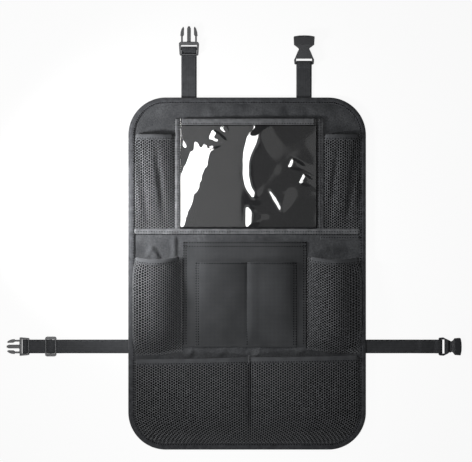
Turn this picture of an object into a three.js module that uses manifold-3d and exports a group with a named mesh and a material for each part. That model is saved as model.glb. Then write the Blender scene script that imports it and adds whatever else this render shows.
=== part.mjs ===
// Seat back storage organiser: a soft panel with a clear tablet window, mesh bottle pockets,
// two document pockets, a deep mesh pocket and four buckled webbing straps.
// Millimetres. It lies on its back: X to the right, Y to the panel's top, Z out of the pockets.
// The origin is the centre of the panel's flat back face.
import * as THREE from 'three';
import { mergeVertices } from 'three/addons/utils/BufferGeometryUtils.js';
import Module from 'manifold-3d';

const wasm = await Module();
wasm.setup();

// Panel and its edge binding
const PANEL_WIDTH = 400;
const PANEL_HEIGHT = 593;
const CORNER_RADIUS = 63;
const PANEL_THICKNESS = 1.2;
const BINDING_WIDTH = 10;
const TAPE_THICKNESS = 0.6;
const RIM_FLAT = 14;
const RIM_SLOPE = 16;

// Cloths, and the clearance between neighbouring layers
const MESH_THICKNESS = 0.6;
const FILM_THICKNESS = 0.5;
const POCKET_THICKNESS = 0.9;
const GAP = 0.3;
const SEAM_ALLOWANCE = 4;
const HEM_WIDTH = 8;

// Tablet window, placed by its distances from the panel's sides and top
const WINDOW_LEFT_MARGIN = 82.2;
const WINDOW_RIGHT_MARGIN = 76.6;
const WINDOW_DROP = 36.5;
const WINDOW_TOP_BAND = 9.5;
const LEFT_TRIM_WIDTH = 7.8;
const RIGHT_TRIM_WIDTH = 10.8;
const ROW_TAPE_DROP = 221.1;
const ROW_TAPE_WIDTH = 8.4;
const WINDOW_DEPTH = 7;
const WRINKLE_HEIGHT = 3;
const WRINKLE_WIDTH = 15;
const WRINKLE_OFFSET = 11;
const WRINKLE_SWAY = 11;
const WRINKLE_BEND = 0.59;
const WRINKLE_WAVE = 0.68;

// Upper mesh pockets beside the window, with two soft folds each
const UPPER_DROP = 62.9;
const UPPER_DEPTH = 12;
const FOLD_DEPTH = 3;
const FOLD_WIDTH = 9;
const OUTER_FOLD_TOP = 15;
const OUTER_FOLD_FOOT = 32;
const INNER_FOLD_TOP = 45;
const INNER_FOLD_FOOT = 61;

// Middle bottle pockets; the right one's foot sits a little higher
const MIDDLE_DROP = 267.5;
const MIDDLE_SAG = 6;
const MIDDLE_FOOT_HEIGHT = 164;
const MIDDLE_FOOT_RISE = 6;
const MIDDLE_FOOT_TILT = 1.7;
const BOTTLE_DEPTH = 28;

// Document pocket and the twin pocket sewn on its front
const DOCUMENT_LEFT_MARGIN = 92.1;
const DOCUMENT_RIGHT_MARGIN = 99.7;
const DOCUMENT_DROP = 242.5;
const DOCUMENT_FOOT_HEIGHT = 172.5;
const DOCUMENT_DEPTH = 7;
const FRONT_LEFT_MARGIN = 20.9;
const FRONT_RIGHT_MARGIN = 16.9;
const FRONT_DROP = 34.6;
const FRONT_DEPTH = 9;
const PLEAT_ROLL = 6;
const PLEAT_WIDTH = 24;
const PLEAT_HEIGHT = 2.5;

// Deep mesh pocket across the bottom, its mouth rising to the right
const BOTTOM_HEIGHT = 154.5;
const BOTTOM_TILT = 3.5;
const BOTTOM_DEPTH = 15;
const BOTTOM_SEAM = 5.7;
const BOTTOM_HEM_WIDTH = 9;

// Webbing straps
const WEBBING_THICKNESS = 1.2;
const TOP_WEBBING = 26;
const SIDE_WEBBING = 23;
const STRAP_TUCK = 13;
const LOOP_TAIL = 34;
const TOP_LEFT_MARGIN = 102;
const TOP_RIGHT_MARGIN = 104;
const SIDE_HEIGHT = 173.5;
const TOP_LEFT_REACH = 71;
const TOP_RIGHT_REACH = 56;
const LEFT_REACH = 167;
const RIGHT_REACH = 123;
const SLIDER_REACH = 121.5;

// Side release buckles and the slider
const SLOT_CLEARANCE = 1;
const RAIL_HEIGHT = 7;
const MALE_RAIL = 3.4;
const TOP_OUTER_BAR = 2.9;
const TOP_RISE_SLOT = 6.6;
const TOP_MIDDLE_BAR = 4.3;
const TOP_RETURN_SLOT = 4;
const TOP_BODY = 5.2;
const TOP_ARM_LENGTH = 25.5;
const TOP_ARM_SPREAD = 29;
const TOP_MOUTH_WALL = 2.9;
const SIDE_OUTER_BAR = 2.2;
const SIDE_RISE_SLOT = 4.6;
const SIDE_MIDDLE_BAR = 3.4;
const SIDE_RETURN_SLOT = 2.9;
const SIDE_BODY = 3.4;
const SIDE_ARM_LENGTH = 21;
const SIDE_ARM_SPREAD = 25;
const SIDE_MOUTH_WALL = 1.8;
const ARM_HEIGHT = 5.4;
const ARM_STEM = 2.9;
const ARM_HEAD = 6;
const BARB = 1.2;
const PRONG_WIDTH = 6.1;
const PRONG_HEIGHT = 4;
const FEMALE_RAIL = 3.9;
const FEMALE_BAR = 4.6;
const FEMALE_SLOT = 5.3;
const FEMALE_NECK = 17.2;
const TOP_FEMALE_LENGTH = 48.4;
const SIDE_FEMALE_LENGTH = 38;
const MOUTH_HEIGHT = 9.6;
const SOCKET_CLEARANCE = 0.5;
const BAR_HEIGHT = 3;
const SLIDER_LENGTH = 18.8;
const SLIDER_RAIL = 4.6;
const SLIDER_END_BAR = 2.2;
const SLIDER_CENTRE_BAR = 4;
const SLIDER_BAR_HEIGHT = 2;

// Levels and lines that follow from the sizes above
const HALF_WIDTH = PANEL_WIDTH / 2;
const HALF_HEIGHT = PANEL_HEIGHT / 2;
const WINDOW_LEFT = WINDOW_LEFT_MARGIN - HALF_WIDTH;
const WINDOW_RIGHT = HALF_WIDTH - WINDOW_RIGHT_MARGIN;
const WINDOW_TOP = HALF_HEIGHT - WINDOW_DROP;
const ROW_TAPE_TOP = HALF_HEIGHT - ROW_TAPE_DROP;
const UPPER_MOUTH = HALF_HEIGHT - UPPER_DROP;
const MIDDLE_MOUTH = HALF_HEIGHT - MIDDLE_DROP;
const MIDDLE_FOOT = MIDDLE_FOOT_HEIGHT - HALF_HEIGHT;
const DOCUMENT_LEFT = DOCUMENT_LEFT_MARGIN - HALF_WIDTH;
const DOCUMENT_RIGHT = HALF_WIDTH - DOCUMENT_RIGHT_MARGIN;
const DOCUMENT_MOUTH = HALF_HEIGHT - DOCUMENT_DROP;
const DOCUMENT_FOOT = DOCUMENT_FOOT_HEIGHT + SEAM_ALLOWANCE - HALF_HEIGHT;
const FRONT_LEFT = DOCUMENT_LEFT + FRONT_LEFT_MARGIN;
const FRONT_RIGHT = DOCUMENT_RIGHT - FRONT_RIGHT_MARGIN;
const FRONT_MOUTH = DOCUMENT_MOUTH - FRONT_DROP;
const BOTTOM_MOUTH = BOTTOM_HEIGHT - HALF_HEIGHT;
const TOP_LEFT_CENTRE = TOP_LEFT_MARGIN - HALF_WIDTH;
const TOP_RIGHT_CENTRE = HALF_WIDTH - TOP_RIGHT_MARGIN;
const SIDE_CENTRE = SIDE_HEIGHT - HALF_HEIGHT;
const RIM_LIFT = WEBBING_THICKNESS + GAP + TAPE_THICKNESS + GAP;
const RIM_END = RIM_FLAT + RIM_SLOPE;
const BINDING_EDGE = BINDING_WIDTH + 0.5;
const TRIM_LEVEL = GAP + MESH_THICKNESS + GAP;
const RAISED = WEBBING_THICKNESS + GAP;
const ARC_STEPS = 8;

// Colours
const CLOTH_BLACK = '#3f4042';
const MESH_BLACK = '#2e2f31';
const TAPE_BLACK = '#4a4b4d';
const WEBBING_BLACK = '#37383a';
const PLASTIC_BLACK = '#2a2b2d';
const FILM_SMOKE = '#5b5d60';

const clamp = (value, low, high) => Math.min(Math.max(value, low), high);
const mix = (a, b, t) => a + (b - a) * t;
const smooth = (t) => clamp(t, 0, 1) ** 2 * (3 - 2 * clamp(t, 0, 1));
const rise = (t) => Math.sin((Math.PI / 2) * clamp(t, 0, 1));

// Values from a to b in equal steps, both ends included
function spread(a, b, steps) {
  return Array.from({ length: steps + 1 }, (_, i) => mix(a, b, i / steps));
}

// Distance from the panel's rounded outline to a point inside it
function insetAt(x, y) {
  const qx = Math.abs(x) - (HALF_WIDTH - CORNER_RADIUS);
  const qy = Math.abs(y) - (HALF_HEIGHT - CORNER_RADIUS);
  const outside = Math.hypot(Math.max(qx, 0), Math.max(qy, 0));
  return CORNER_RADIUS - outside - Math.min(Math.max(qx, qy), 0);
}

// Half of the panel's width at a height, measured to a line inset from the outline
function halfWidthAt(y, inset) {
  const into = Math.abs(y) - (HALF_HEIGHT - CORNER_RADIUS);
  if (into <= 0) return HALF_WIDTH - inset;
  const radius = CORNER_RADIUS - inset;
  return HALF_WIDTH - CORNER_RADIUS + Math.sqrt(Math.max(radius ** 2 - into ** 2, 0));
}

// The panel's front face: flat, and raised at the rim over the strap ends and the binding
function panelTop(x, y) {
  return PANEL_THICKNESS + RIM_LIFT * clamp((RIM_END - insetAt(x, y)) / RIM_SLOPE, 0, 1);
}

// A closed mesh from points and triangles, turned so that its faces point out
function closedGeometry(points, triangles) {
  let volume = 0;
  for (const [a, b, c] of triangles) {
    volume += points[a].dot(new THREE.Vector3().crossVectors(points[b], points[c]));
  }
  const turned = volume < 0 ? triangles.map(([a, b, c]) => [a, c, b]) : triangles;
  const geometry = new THREE.BufferGeometry().setFromPoints(points);
  geometry.setIndex(turned.flat());
  return geometry;
}

// Triangles of a strip of quads between rows of points, numbered from an offset
function quads(rows, columns, closed, offset = 0) {
  const triangles = [];
  for (let r = 0; r + 1 < rows; r += 1) {
    for (let c = 0; c < (closed ? columns : columns - 1); c += 1) {
      const next = (c + 1) % columns;
      const [a, b] = [offset + r * columns + c, offset + r * columns + next];
      triangles.push([a, b, b + columns], [a, b + columns, a + columns]);
    }
  }
  return triangles;
}

// Skin over a row of equal loops; ends are closed with the given cap triangles, or joined round
function loft(loops, cap) {
  const count = loops[0].length;
  const rows = cap ? loops : [...loops, loops[0]];
  const triangles = quads(rows.length, count, true);
  const points = loops.flat();
  if (!cap) return closedGeometry(points, triangles.map((t) => t.map((i) => i % points.length)));
  const last = (loops.length - 1) * count;
  cap.forEach(([a, b, c]) => triangles.push([a, c, b], [last + a, last + b, last + c]));
  return closedGeometry(points, triangles);
}

// One turn of the panel's rounded outline at an inset and a height
function outlineLoop(inset, z) {
  const radius = CORNER_RADIUS - inset;
  const loop = [];
  for (let corner = 0; corner < 4; corner += 1) {
    const cx = (HALF_WIDTH - CORNER_RADIUS) * (corner === 0 || corner === 3 ? 1 : -1);
    const cy = (HALF_HEIGHT - CORNER_RADIUS) * (corner < 2 ? 1 : -1);
    for (const angle of spread(corner * 90, corner * 90 + 90, ARC_STEPS)) {
      const turn = THREE.MathUtils.degToRad(angle);
      loop.push(new THREE.Vector3(cx + radius * Math.cos(turn), cy + radius * Math.sin(turn), z));
    }
  }
  return loop;
}

function fanCap(count) {
  return Array.from({ length: count - 2 }, (_, i) => [0, i + 1, i + 2]);
}

// The padded back panel, dished so that its rim clears the strap ends
function backPanel() {
  const rim = RIM_LIFT;
  const edge = TAPE_THICKNESS + GAP;
  const loops = [
    outlineLoop(RIM_END, 0),
    outlineLoop(RIM_FLAT, rim),
    outlineLoop(edge, rim),
    outlineLoop(edge, rim + PANEL_THICKNESS),
    outlineLoop(RIM_FLAT, rim + PANEL_THICKNESS),
    outlineLoop(RIM_END, PANEL_THICKNESS),
  ];
  return loft(loops, fanCap(loops[0].length));
}

// Folded tape round the panel's edge: a leg behind, a round bend and a leg in front
function edgeBinding() {
  const low = WEBBING_THICKNESS + GAP;
  const high = RIM_LIFT + PANEL_THICKNESS + TRIM_LEVEL + TAPE_THICKNESS;
  const bend = 1.1;
  const profile = [
    [BINDING_WIDTH, low],
    [bend, low],
    [0, low + bend],
    [0, high - bend],
    [bend, high],
    [BINDING_WIDTH, high],
    [BINDING_WIDTH, high - TAPE_THICKNESS],
    [TAPE_THICKNESS, high - TAPE_THICKNESS],
    [TAPE_THICKNESS, low + TAPE_THICKNESS],
    [BINDING_WIDTH, low + TAPE_THICKNESS],
  ];
  return loft(profile.map(([inset, z]) => outlineLoop(inset, z)), null);
}

// Direction square to a grid of points at one of them, straight up where the cloth is sewn flat
function gridNormal(grid, r, c) {
  const left = grid[r][Math.max(c - 1, 0)];
  const right = grid[r][Math.min(c + 1, grid[r].length - 1)];
  const below = grid[Math.max(r - 1, 0)][c];
  const above = grid[Math.min(r + 1, grid.length - 1)][c];
  const across = new THREE.Vector3().subVectors(right.point, left.point);
  const along = new THREE.Vector3().subVectors(above.point, below.point);
  if (grid[r][c].lift === 0) return new THREE.Vector3(0, 0, 1);
  return across.cross(along).normalize();
}

// Under face of a cloth: columns across, rows from foot to mouth, lifted off what lies below it
function clothGrid({ xs, ys, place, base, lift }) {
  const grid = ys(0).map((_, r) => xs.map((x0) => {
    const y = ys(x0)[r];
    const x = place ? place(x0, y) : x0;
    const height = lift(x, y);
    return { point: new THREE.Vector3(x, y, base(x, y) + GAP + height), lift: height };
  }));
  return grid.map((row, r) => row.map((node, c) => ({ ...node, normal: gridNormal(grid, r, c) })));
}

// Numbers of a grid's outer points, once round from its first corner
function gridBorder(rows, columns) {
  const range = (count, at) => Array.from({ length: count }, (_, i) => at(i));
  return [
    ...range(columns, (c) => c),
    ...range(rows - 1, (r) => (r + 2) * columns - 1),
    ...range(columns - 1, (c) => rows * columns - 2 - c),
    ...range(rows - 2, (r) => (rows - 2 - r) * columns),
  ];
}

// Cloth of one thickness over a grid
function clothSolid(grid, thickness) {
  const [rows, columns] = [grid.length, grid[0].length];
  const under = grid.flat().map((node) => node.point);
  const over = grid.flat().map((node) => node.point.clone().addScaledVector(node.normal, thickness));
  const count = under.length;
  const upper = quads(rows, columns, false, count);
  const lower = quads(rows, columns, false).map(([a, b, c]) => [a, c, b]);
  const edge = gridBorder(rows, columns);
  const sides = edge.flatMap((a, i) => {
    const b = edge[(i + 1) % edge.length];
    return [[a, b, b + count], [a, b + count, a + count]];
  });
  return closedGeometry([...under, ...over], [...lower, ...upper, ...sides]);
}

// Folded hem over a cloth's mouth: a leg in front, the fold, and a leg behind
function hemSolid(grid, thickness, skip) {
  const [mouth, inner] = [grid[grid.length - 1], grid[grid.length - 2]];
  const near = GAP;
  const far = GAP + TAPE_THICKNESS;
  const loops = [];
  for (let c = skip; c < mouth.length - skip; c += 1) {
    const out = new THREE.Vector3().subVectors(mouth[c].point, inner[c].point).normalize();
    const at = (node, forward, height) => node.point.clone()
      .addScaledVector(out, forward).addScaledVector(node.normal, height);
    loops.push([
      at(mouth[c], far, thickness + far),
      at(inner[c], 0, thickness + far),
      at(inner[c], 0, thickness + near),
      at(mouth[c], near, thickness + near),
      at(mouth[c], near, -near),
      at(inner[c], 0, -near),
      at(inner[c], 0, -far),
      at(mouth[c], far, -far),
    ]);
  }
  const cap = [[0, 1, 2], [0, 2, 3], [0, 3, 4], [0, 4, 7], [4, 5, 6], [4, 6, 7]];
  return loft(loops, cap);
}

// Rows from a sewn foot to a mouth, with a row at the hem's inner edge
function pocketRows(foot, mouth, hem, steps) {
  return (x) => {
    const inner = mouth(x) - hem;
    return [foot(x) - SEAM_ALLOWANCE, ...spread(foot(x), inner, steps), mouth(x)];
  };
}

// Columns near the panel's side, at the lines where the binding and the rim bend
const rimColumns = [HALF_WIDTH - SEAM_ALLOWANCE, HALF_WIDTH - BINDING_EDGE, HALF_WIDTH - RIM_FLAT,
  HALF_WIDTH - (RIM_FLAT + RIM_END) / 2, HALF_WIDTH - RIM_END];

// Share of the way from the panel's binding to an inner seam
function shareAcross(x, y, seam, side) {
  const fromRim = Math.max(insetAt(x, y) - BINDING_EDGE, 0);
  const fromSeam = Math.max(side * (x - seam), 0);
  return fromSeam > 0 ? fromRim / (fromRim + fromSeam) : 1;
}

// Arch across a pocket, from one sewn side to the other
const arch = (share, power) => Math.max(Math.sin(Math.PI * clamp(share, 0, 1)), 0) ** power;

// Depth of a soft fold that runs along a straight line between two points
function fold(x, y, from, to) {
  const along = new THREE.Vector2(to[0] - from[0], to[1] - from[1]);
  const length = along.length();
  const step = new THREE.Vector2(x - from[0], y - from[1]);
  const share = clamp(step.dot(along) / length ** 2, 0, 1);
  const away = Math.abs(step.cross(along)) / length;
  return FOLD_DEPTH * Math.sin(Math.PI * share) * (1 - smooth(away / FOLD_WIDTH));
}

// Mesh pocket beside the window; side is -1 on the left and 1 on the right
function upperPocket(side) {
  const trim = side < 0 ? WINDOW_LEFT - LEFT_TRIM_WIDTH / 2 : WINDOW_RIGHT + RIGHT_TRIM_WIDTH / 2;
  const seam = trim + side * GAP;
  const edge = (side < 0 ? WINDOW_LEFT : WINDOW_RIGHT) + side * GAP;
  const inner = seam + side * SEAM_ALLOWANCE;
  const across = spread(side * (HALF_WIDTH - RIM_END), inner, 5).slice(1);
  const xs = [...rimColumns.map((x) => side * x), ...across, seam, edge].sort((a, b) => a - b);
  const foldTop = UPPER_MOUTH - SEAM_ALLOWANCE;
  const foldFoot = ROW_TAPE_TOP + HEM_WIDTH;
  const at = (margin, y) => [side * (HALF_WIDTH - margin), y];
  const lift = (x, y) => {
    const up = (y - ROW_TAPE_TOP) / (UPPER_MOUTH - ROW_TAPE_TOP);
    const share = shareAcross(x, y, seam, side);
    if (up <= 0 || share <= 0 || share >= 1) return 0;
    const folds = fold(x, y, at(OUTER_FOLD_TOP, foldTop), at(OUTER_FOLD_FOOT, foldFoot))
      + fold(x, y, at(INNER_FOLD_TOP, foldTop), at(INNER_FOLD_FOOT, foldFoot));
    const height = UPPER_DEPTH * arch(share, 0.7) * rise(up * 2.2) * mix(0.75, 1, up);
    return height - Math.min(folds, height * 0.35);
  };
  const ys = pocketRows(() => ROW_TAPE_TOP + GAP, () => UPPER_MOUTH, HEM_WIDTH, 8);
  return clothGrid({ xs, ys, base: panelTop, lift });
}

// Height of the film's standing wrinkle, which curves down the middle of the window
function filmWrinkle(x, up) {
  const middle = (WINDOW_LEFT + WINDOW_RIGHT) / 2;
  const turn = (2 * Math.PI * (up - WRINKLE_BEND)) / WRINKLE_WAVE;
  const crest = middle + WRINKLE_OFFSET - WRINKLE_SWAY * Math.cos(turn);
  return WRINKLE_HEIGHT * (1 - smooth(Math.abs(x - crest) / WRINKLE_WIDTH)) * smooth((1 - up) * 5);
}

// Clear film over the tablet pocket
function windowFilm() {
  const left = WINDOW_LEFT + LEFT_TRIM_WIDTH / 2 + GAP;
  const right = WINDOW_RIGHT - RIGHT_TRIM_WIDTH / 2 - GAP;
  const xs = [WINDOW_LEFT + GAP, left, left + SEAM_ALLOWANCE,
    ...spread(left + SEAM_ALLOWANCE, right - SEAM_ALLOWANCE, 24).slice(1, -1),
    right - SEAM_ALLOWANCE, right, WINDOW_RIGHT - GAP];
  const lift = (x, y) => {
    const up = (y - ROW_TAPE_TOP) / (WINDOW_TOP - ROW_TAPE_TOP);
    if (up <= 0 || x <= left || x >= right) return 0;
    const sides = rise((x - left) / 30) * rise((right - x) / 30);
    return (WINDOW_DEPTH + filmWrinkle(x, up)) * sides * rise(up * 4);
  };
  const ys = pocketRows(() => ROW_TAPE_TOP + GAP, () => WINDOW_TOP, WINDOW_TOP_BAND, 8);
  return clothGrid({ xs, ys, base: panelTop, lift });
}

// Flat tape sewn over other cloths, following the panel below
function tape(xs, y0, y1) {
  const grid = clothGrid({
    xs,
    ys: () => [y0, mix(y0, y1, 0.5), y1],
    base: (x, y) => panelTop(x, y) + TRIM_LEVEL - GAP,
    lift: () => 0,
  });
  return clothSolid(grid, TAPE_THICKNESS);
}

// Bottle pocket; side is -1 on the left and 1 on the right
function middlePocket(side) {
  const edge = side < 0 ? DOCUMENT_LEFT - 2 * GAP : DOCUMENT_RIGHT + 2 * GAP;
  const seam = edge + side * SEAM_ALLOWANCE;
  const inner = seam + side * SEAM_ALLOWANCE;
  const across = spread(side * (HALF_WIDTH - RIM_END), inner, 6).slice(1);
  const xs = [...rimColumns.map((x) => side * x), ...across, seam, edge].sort((a, b) => a - b);
  const widthShare = (x) => clamp((HALF_WIDTH - Math.abs(x)) / (HALF_WIDTH - Math.abs(edge)), 0, 1);
  const mouth = (x) => MIDDLE_MOUTH - MIDDLE_SAG * Math.sin(Math.PI * widthShare(x));
  const foot = (x) => MIDDLE_FOOT + side * MIDDLE_FOOT_TILT
    + MIDDLE_FOOT_RISE * smooth((widthShare(x) - 0.5) * 2);
  const lift = (x, y) => {
    const up = (y - foot(x)) / (mouth(x) - foot(x));
    const share = shareAcross(x, y, seam, side);
    if (up <= 1e-9 || share <= 0 || share >= 1) return 0;
    const belly = rise(up * 3.2) * mix(1, 0.78, smooth((up - 0.55) / 0.45));
    return BOTTLE_DEPTH * arch(share, 0.75) * belly;
  };
  const ys = pocketRows(foot, mouth, HEM_WIDTH, 9);
  return clothGrid({ xs, ys, base: panelTop, lift });
}

// Lines across and up that the document pocket and its front pocket share
const frontColumns = [FRONT_LEFT, FRONT_LEFT + SEAM_ALLOWANCE, ...spread(FRONT_LEFT + 10, -8, 4),
  0, PLEAT_ROLL, mix(PLEAT_ROLL, PLEAT_WIDTH, 0.5), PLEAT_WIDTH,
  ...spread(PLEAT_WIDTH + 12, FRONT_RIGHT - 10, 3),
  FRONT_RIGHT - SEAM_ALLOWANCE, FRONT_RIGHT];
const frontRows = pocketRows(() => DOCUMENT_FOOT, () => FRONT_MOUTH, HEM_WIDTH, 7);
const documentRows = (x) => [...frontRows(x), mix(FRONT_MOUTH, DOCUMENT_MOUTH, 0.5), DOCUMENT_MOUTH];

function documentGrid() {
  const left = DOCUMENT_LEFT + SEAM_ALLOWANCE;
  const right = DOCUMENT_RIGHT - SEAM_ALLOWANCE;
  const xs = [DOCUMENT_LEFT, left, ...frontColumns, right, DOCUMENT_RIGHT];
  const lift = (x, y) => {
    const up = (y - DOCUMENT_FOOT) / (DOCUMENT_MOUTH - DOCUMENT_FOOT);
    if (up <= 0 || x <= left || x >= right) return 0;
    return DOCUMENT_DEPTH * rise((x - left) / 45) * rise((right - x) / 45) * up ** 0.7;
  };
  return clothGrid({ xs, ys: documentRows, base: panelTop, lift });
}

// Twin pocket on the document pocket, sewn at both sides, the foot and a middle line
function frontGrid(carrier) {
  const first = 2;
  const left = FRONT_LEFT + SEAM_ALLOWANCE;
  const right = FRONT_RIGHT - SEAM_ALLOWANCE;
  const lift = (x, y) => {
    const up = (y - DOCUMENT_FOOT) / (FRONT_MOUTH - DOCUMENT_FOOT);
    if (up <= 0 || x <= left || x >= right) return 0;
    const share = x < 0 ? (x - left) / -left : x / right;
    const fallen = smooth((x - PLEAT_ROLL) / (PLEAT_WIDTH - PLEAT_ROLL));
    const pleat = PLEAT_HEIGHT * rise(x / PLEAT_ROLL) * (1 - fallen);
    return (FRONT_DEPTH * arch(share, 0.6) * up ** 0.6 + pleat) * rise(up * 5);
  };
  const rows = frontRows(0).length;
  const grid = carrier.slice(0, rows).map((row) => row.slice(first, first + frontColumns.length)
    .map(({ point, normal }) => {
      const height = lift(point.x, point.y);
      const level = point.clone().addScaledVector(normal, POCKET_THICKNESS);
      return { point: level.add(new THREE.Vector3(0, 0, GAP + height)), lift: height };
    }));
  return grid.map((row, r) => row.map((node, c) => ({ ...node, normal: gridNormal(grid, r, c) })));
}

// Deep mesh pocket, held by the binding on three sides and by a seam down its middle
function bottomGrid() {
  const near = rimColumns.slice(0, 4);
  const level = HALF_WIDTH - RIM_END - RIM_SLOPE / 2;
  const xs = [...near.map((x) => -x), ...spread(-level, BOTTOM_SEAM, 7),
    ...spread(BOTTOM_SEAM, level, 7).slice(1), ...near.reverse()];
  const place = (x0, y) => (x0 * halfWidthAt(y, SEAM_ALLOWANCE)) / (HALF_WIDTH - SEAM_ALLOWANCE);
  const foot = BINDING_EDGE - HALF_HEIGHT;
  const inRim = [SEAM_ALLOWANCE, BINDING_EDGE, RIM_FLAT, (RIM_FLAT + RIM_END) / 2]
    .map((inset) => inset - HALF_HEIGHT);
  const mouth = (x) => BOTTOM_MOUTH + (BOTTOM_TILT * x) / HALF_WIDTH;
  const inner = (x) => mouth(x) - BOTTOM_HEM_WIDTH;
  const ys = (x) => [...inRim, ...spread(RIM_END - HALF_HEIGHT, inner(x), 6), mouth(x)];
  const lift = (x, y) => {
    const up = (y - foot) / (mouth(x) - foot);
    const seam = place(BOTTOM_SEAM, y);
    const fromRim = Math.max(insetAt(x, y) - BINDING_EDGE, 0);
    const share = fromRim / Math.max(fromRim + Math.abs(x - seam), 1e-6);
    if (up <= 0 || fromRim <= 0) return 0;
    const pinned = 1.5 * rise(fromRim / 4) * smooth((up - 0.6) / 0.3);
    return Math.max(BOTTOM_DEPTH * arch(share, 0.7) * smooth(up * 2.4) * mix(0.8, 1, up), pinned);
  };
  return clothGrid({ xs, ys, place, base: panelTop, lift });
}

// Even band either side of a line through points, closed as an outline
function bandOutline(path, thickness) {
  const points = path.map(([s, z]) => new THREE.Vector2(s, z));
  const offset = (side) => points.map((point, i) => {
    const before = points[Math.max(i - 1, 0)];
    const after = points[Math.min(i + 1, points.length - 1)];
    const into = i > 0 ? point.clone().sub(before).normalize() : after.clone().sub(point).normalize();
    const away = i + 1 < points.length ? after.clone().sub(point).normalize() : into;
    const bisector = into.clone().add(away).normalize();
    const reach = (side * thickness) / 2 / Math.max(bisector.dot(into), 0.5);
    return new THREE.Vector2(point.x - bisector.y * reach, point.y + bisector.x * reach);
  });
  return new THREE.Shape([...offset(1), ...offset(-1).reverse()]);
}

// Webbing that follows a path outward (s) and up (z), centred across its width
function webbing(path, width) {
  const shape = bandOutline(path, WEBBING_THICKNESS);
  const geometry = new THREE.ExtrudeGeometry(shape, { depth: width, bevelEnabled: false });
  const axes = new THREE.Matrix4().makeBasis(
    new THREE.Vector3(0, 1, 0),
    new THREE.Vector3(0, 0, 1),
    new THREE.Vector3(1, 0, 0),
  );
  geometry.applyMatrix4(axes);
  geometry.translate(-width / 2, 0, 0);
  return geometry;
}

// Run of webbing from the panel, up and over a buckle bar and back underneath itself
function strapPath(reach, riseFrom, bar, tail, lead) {
  const floor = WEBBING_THICKNESS / 2;
  const raised = floor + RAISED;
  const over = bar.top + GAP + WEBBING_THICKNESS / 2;
  const turn = GAP + WEBBING_THICKNESS / 2;
  return [
    ...lead(floor, raised),
    [reach + riseFrom, raised],
    [reach + bar.start - 1, over],
    [reach + bar.end, over],
    [reach + bar.end + turn * 0.8, over - turn * 0.4],
    [reach + bar.end + turn, bar.top - turn * 0.3],
    [reach + bar.end + turn, raised - turn * 0.5],
    [reach + bar.end + turn * 0.6, floor],
    [reach - tail, floor],
  ];
}

const plainLead = (reach, tail) => (floor, raised) => [
  [-STRAP_TUCK, floor],
  [reach - tail - 10, floor],
  [reach - tail - 3, raised],
];

// Lead that also weaves through the slider: under its first bar, over its middle, under its last
const sliderLead = (floor, raised) => {
  const middle = SLIDER_REACH + SLIDER_LENGTH / 2;
  const half = SLIDER_CENTRE_BAR / 2;
  const over = raised + SLIDER_BAR_HEIGHT + GAP;
  return [
    [-STRAP_TUCK, floor],
    [SLIDER_REACH - 14, floor],
    [SLIDER_REACH - 7, raised],
    [SLIDER_REACH + SLIDER_END_BAR + 0.4, raised],
    [middle - half - 0.8, over],
    [middle + half + 0.8, over],
    [SLIDER_REACH + SLIDER_LENGTH - SLIDER_END_BAR - 0.4, raised],
  ];
};

const TOP_BUCKLE = {
  web: TOP_WEBBING,
  outerBar: TOP_OUTER_BAR,
  riseSlot: TOP_RISE_SLOT,
  middleBar: TOP_MIDDLE_BAR,
  returnSlot: TOP_RETURN_SLOT,
  body: TOP_BODY,
  armLength: TOP_ARM_LENGTH,
  armSpread: TOP_ARM_SPREAD,
  femaleLength: TOP_FEMALE_LENGTH,
  wall: TOP_MOUTH_WALL,
};
const SIDE_BUCKLE = {
  web: SIDE_WEBBING,
  outerBar: SIDE_OUTER_BAR,
  riseSlot: SIDE_RISE_SLOT,
  middleBar: SIDE_MIDDLE_BAR,
  returnSlot: SIDE_RETURN_SLOT,
  body: SIDE_BODY,
  armLength: SIDE_ARM_LENGTH,
  armSpread: SIDE_ARM_SPREAD,
  femaleLength: SIDE_FEMALE_LENGTH,
  wall: SIDE_MOUTH_WALL,
};
const FEMALE_BAR_PLACE = { start: 0, end: FEMALE_BAR, top: RAISED + BAR_HEIGHT };

// The bar of a male half that its strap turns round
function maleBar(buckle) {
  const start = buckle.outerBar + buckle.riseSlot;
  return { start, end: start + buckle.middleBar, top: RAISED + BAR_HEIGHT };
}

// Solids for joining and cutting
function solid(geometry) {
  const bare = geometry.clone();
  bare.deleteAttribute('normal');
  bare.deleteAttribute('uv');
  const merged = mergeVertices(bare, 1e-4);
  const mesh = new wasm.Mesh({
    numProp: 3,
    vertProperties: new Float32Array(merged.attributes.position.array),
    triVerts: new Uint32Array(merged.index.array),
  });
  return new wasm.Manifold(mesh);
}

function geometryOf(manifold) {
  const mesh = manifold.getMesh();
  const geometry = new THREE.BufferGeometry();
  geometry.setAttribute('position', new THREE.BufferAttribute(mesh.vertProperties, 3));
  geometry.setIndex(new THREE.BufferAttribute(mesh.triVerts, 1));
  return geometry;
}

// Block between two corners, across (u), outward (s) and up (z)
function block(u0, u1, s0, s1, z0, z1) {
  const geometry = new THREE.BoxGeometry(u1 - u0, s1 - s0, z1 - z0);
  geometry.translate((u0 + u1) / 2, (s0 + s1) / 2, (z0 + z1) / 2);
  return solid(geometry);
}

// Outline raised between two heights, with its top and bottom edges eased
function raisedOutline(shape, z0, z1, ease) {
  const geometry = new THREE.ExtrudeGeometry(shape, {
    depth: z1 - z0 - 2 * ease,
    bevelEnabled: true,
    bevelThickness: ease,
    bevelSize: ease,
    bevelOffset: -ease,
    bevelSegments: 1,
    curveSegments: 3,
  });
  geometry.translate(0, 0, z0 + ease);
  return solid(geometry);
}

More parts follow.
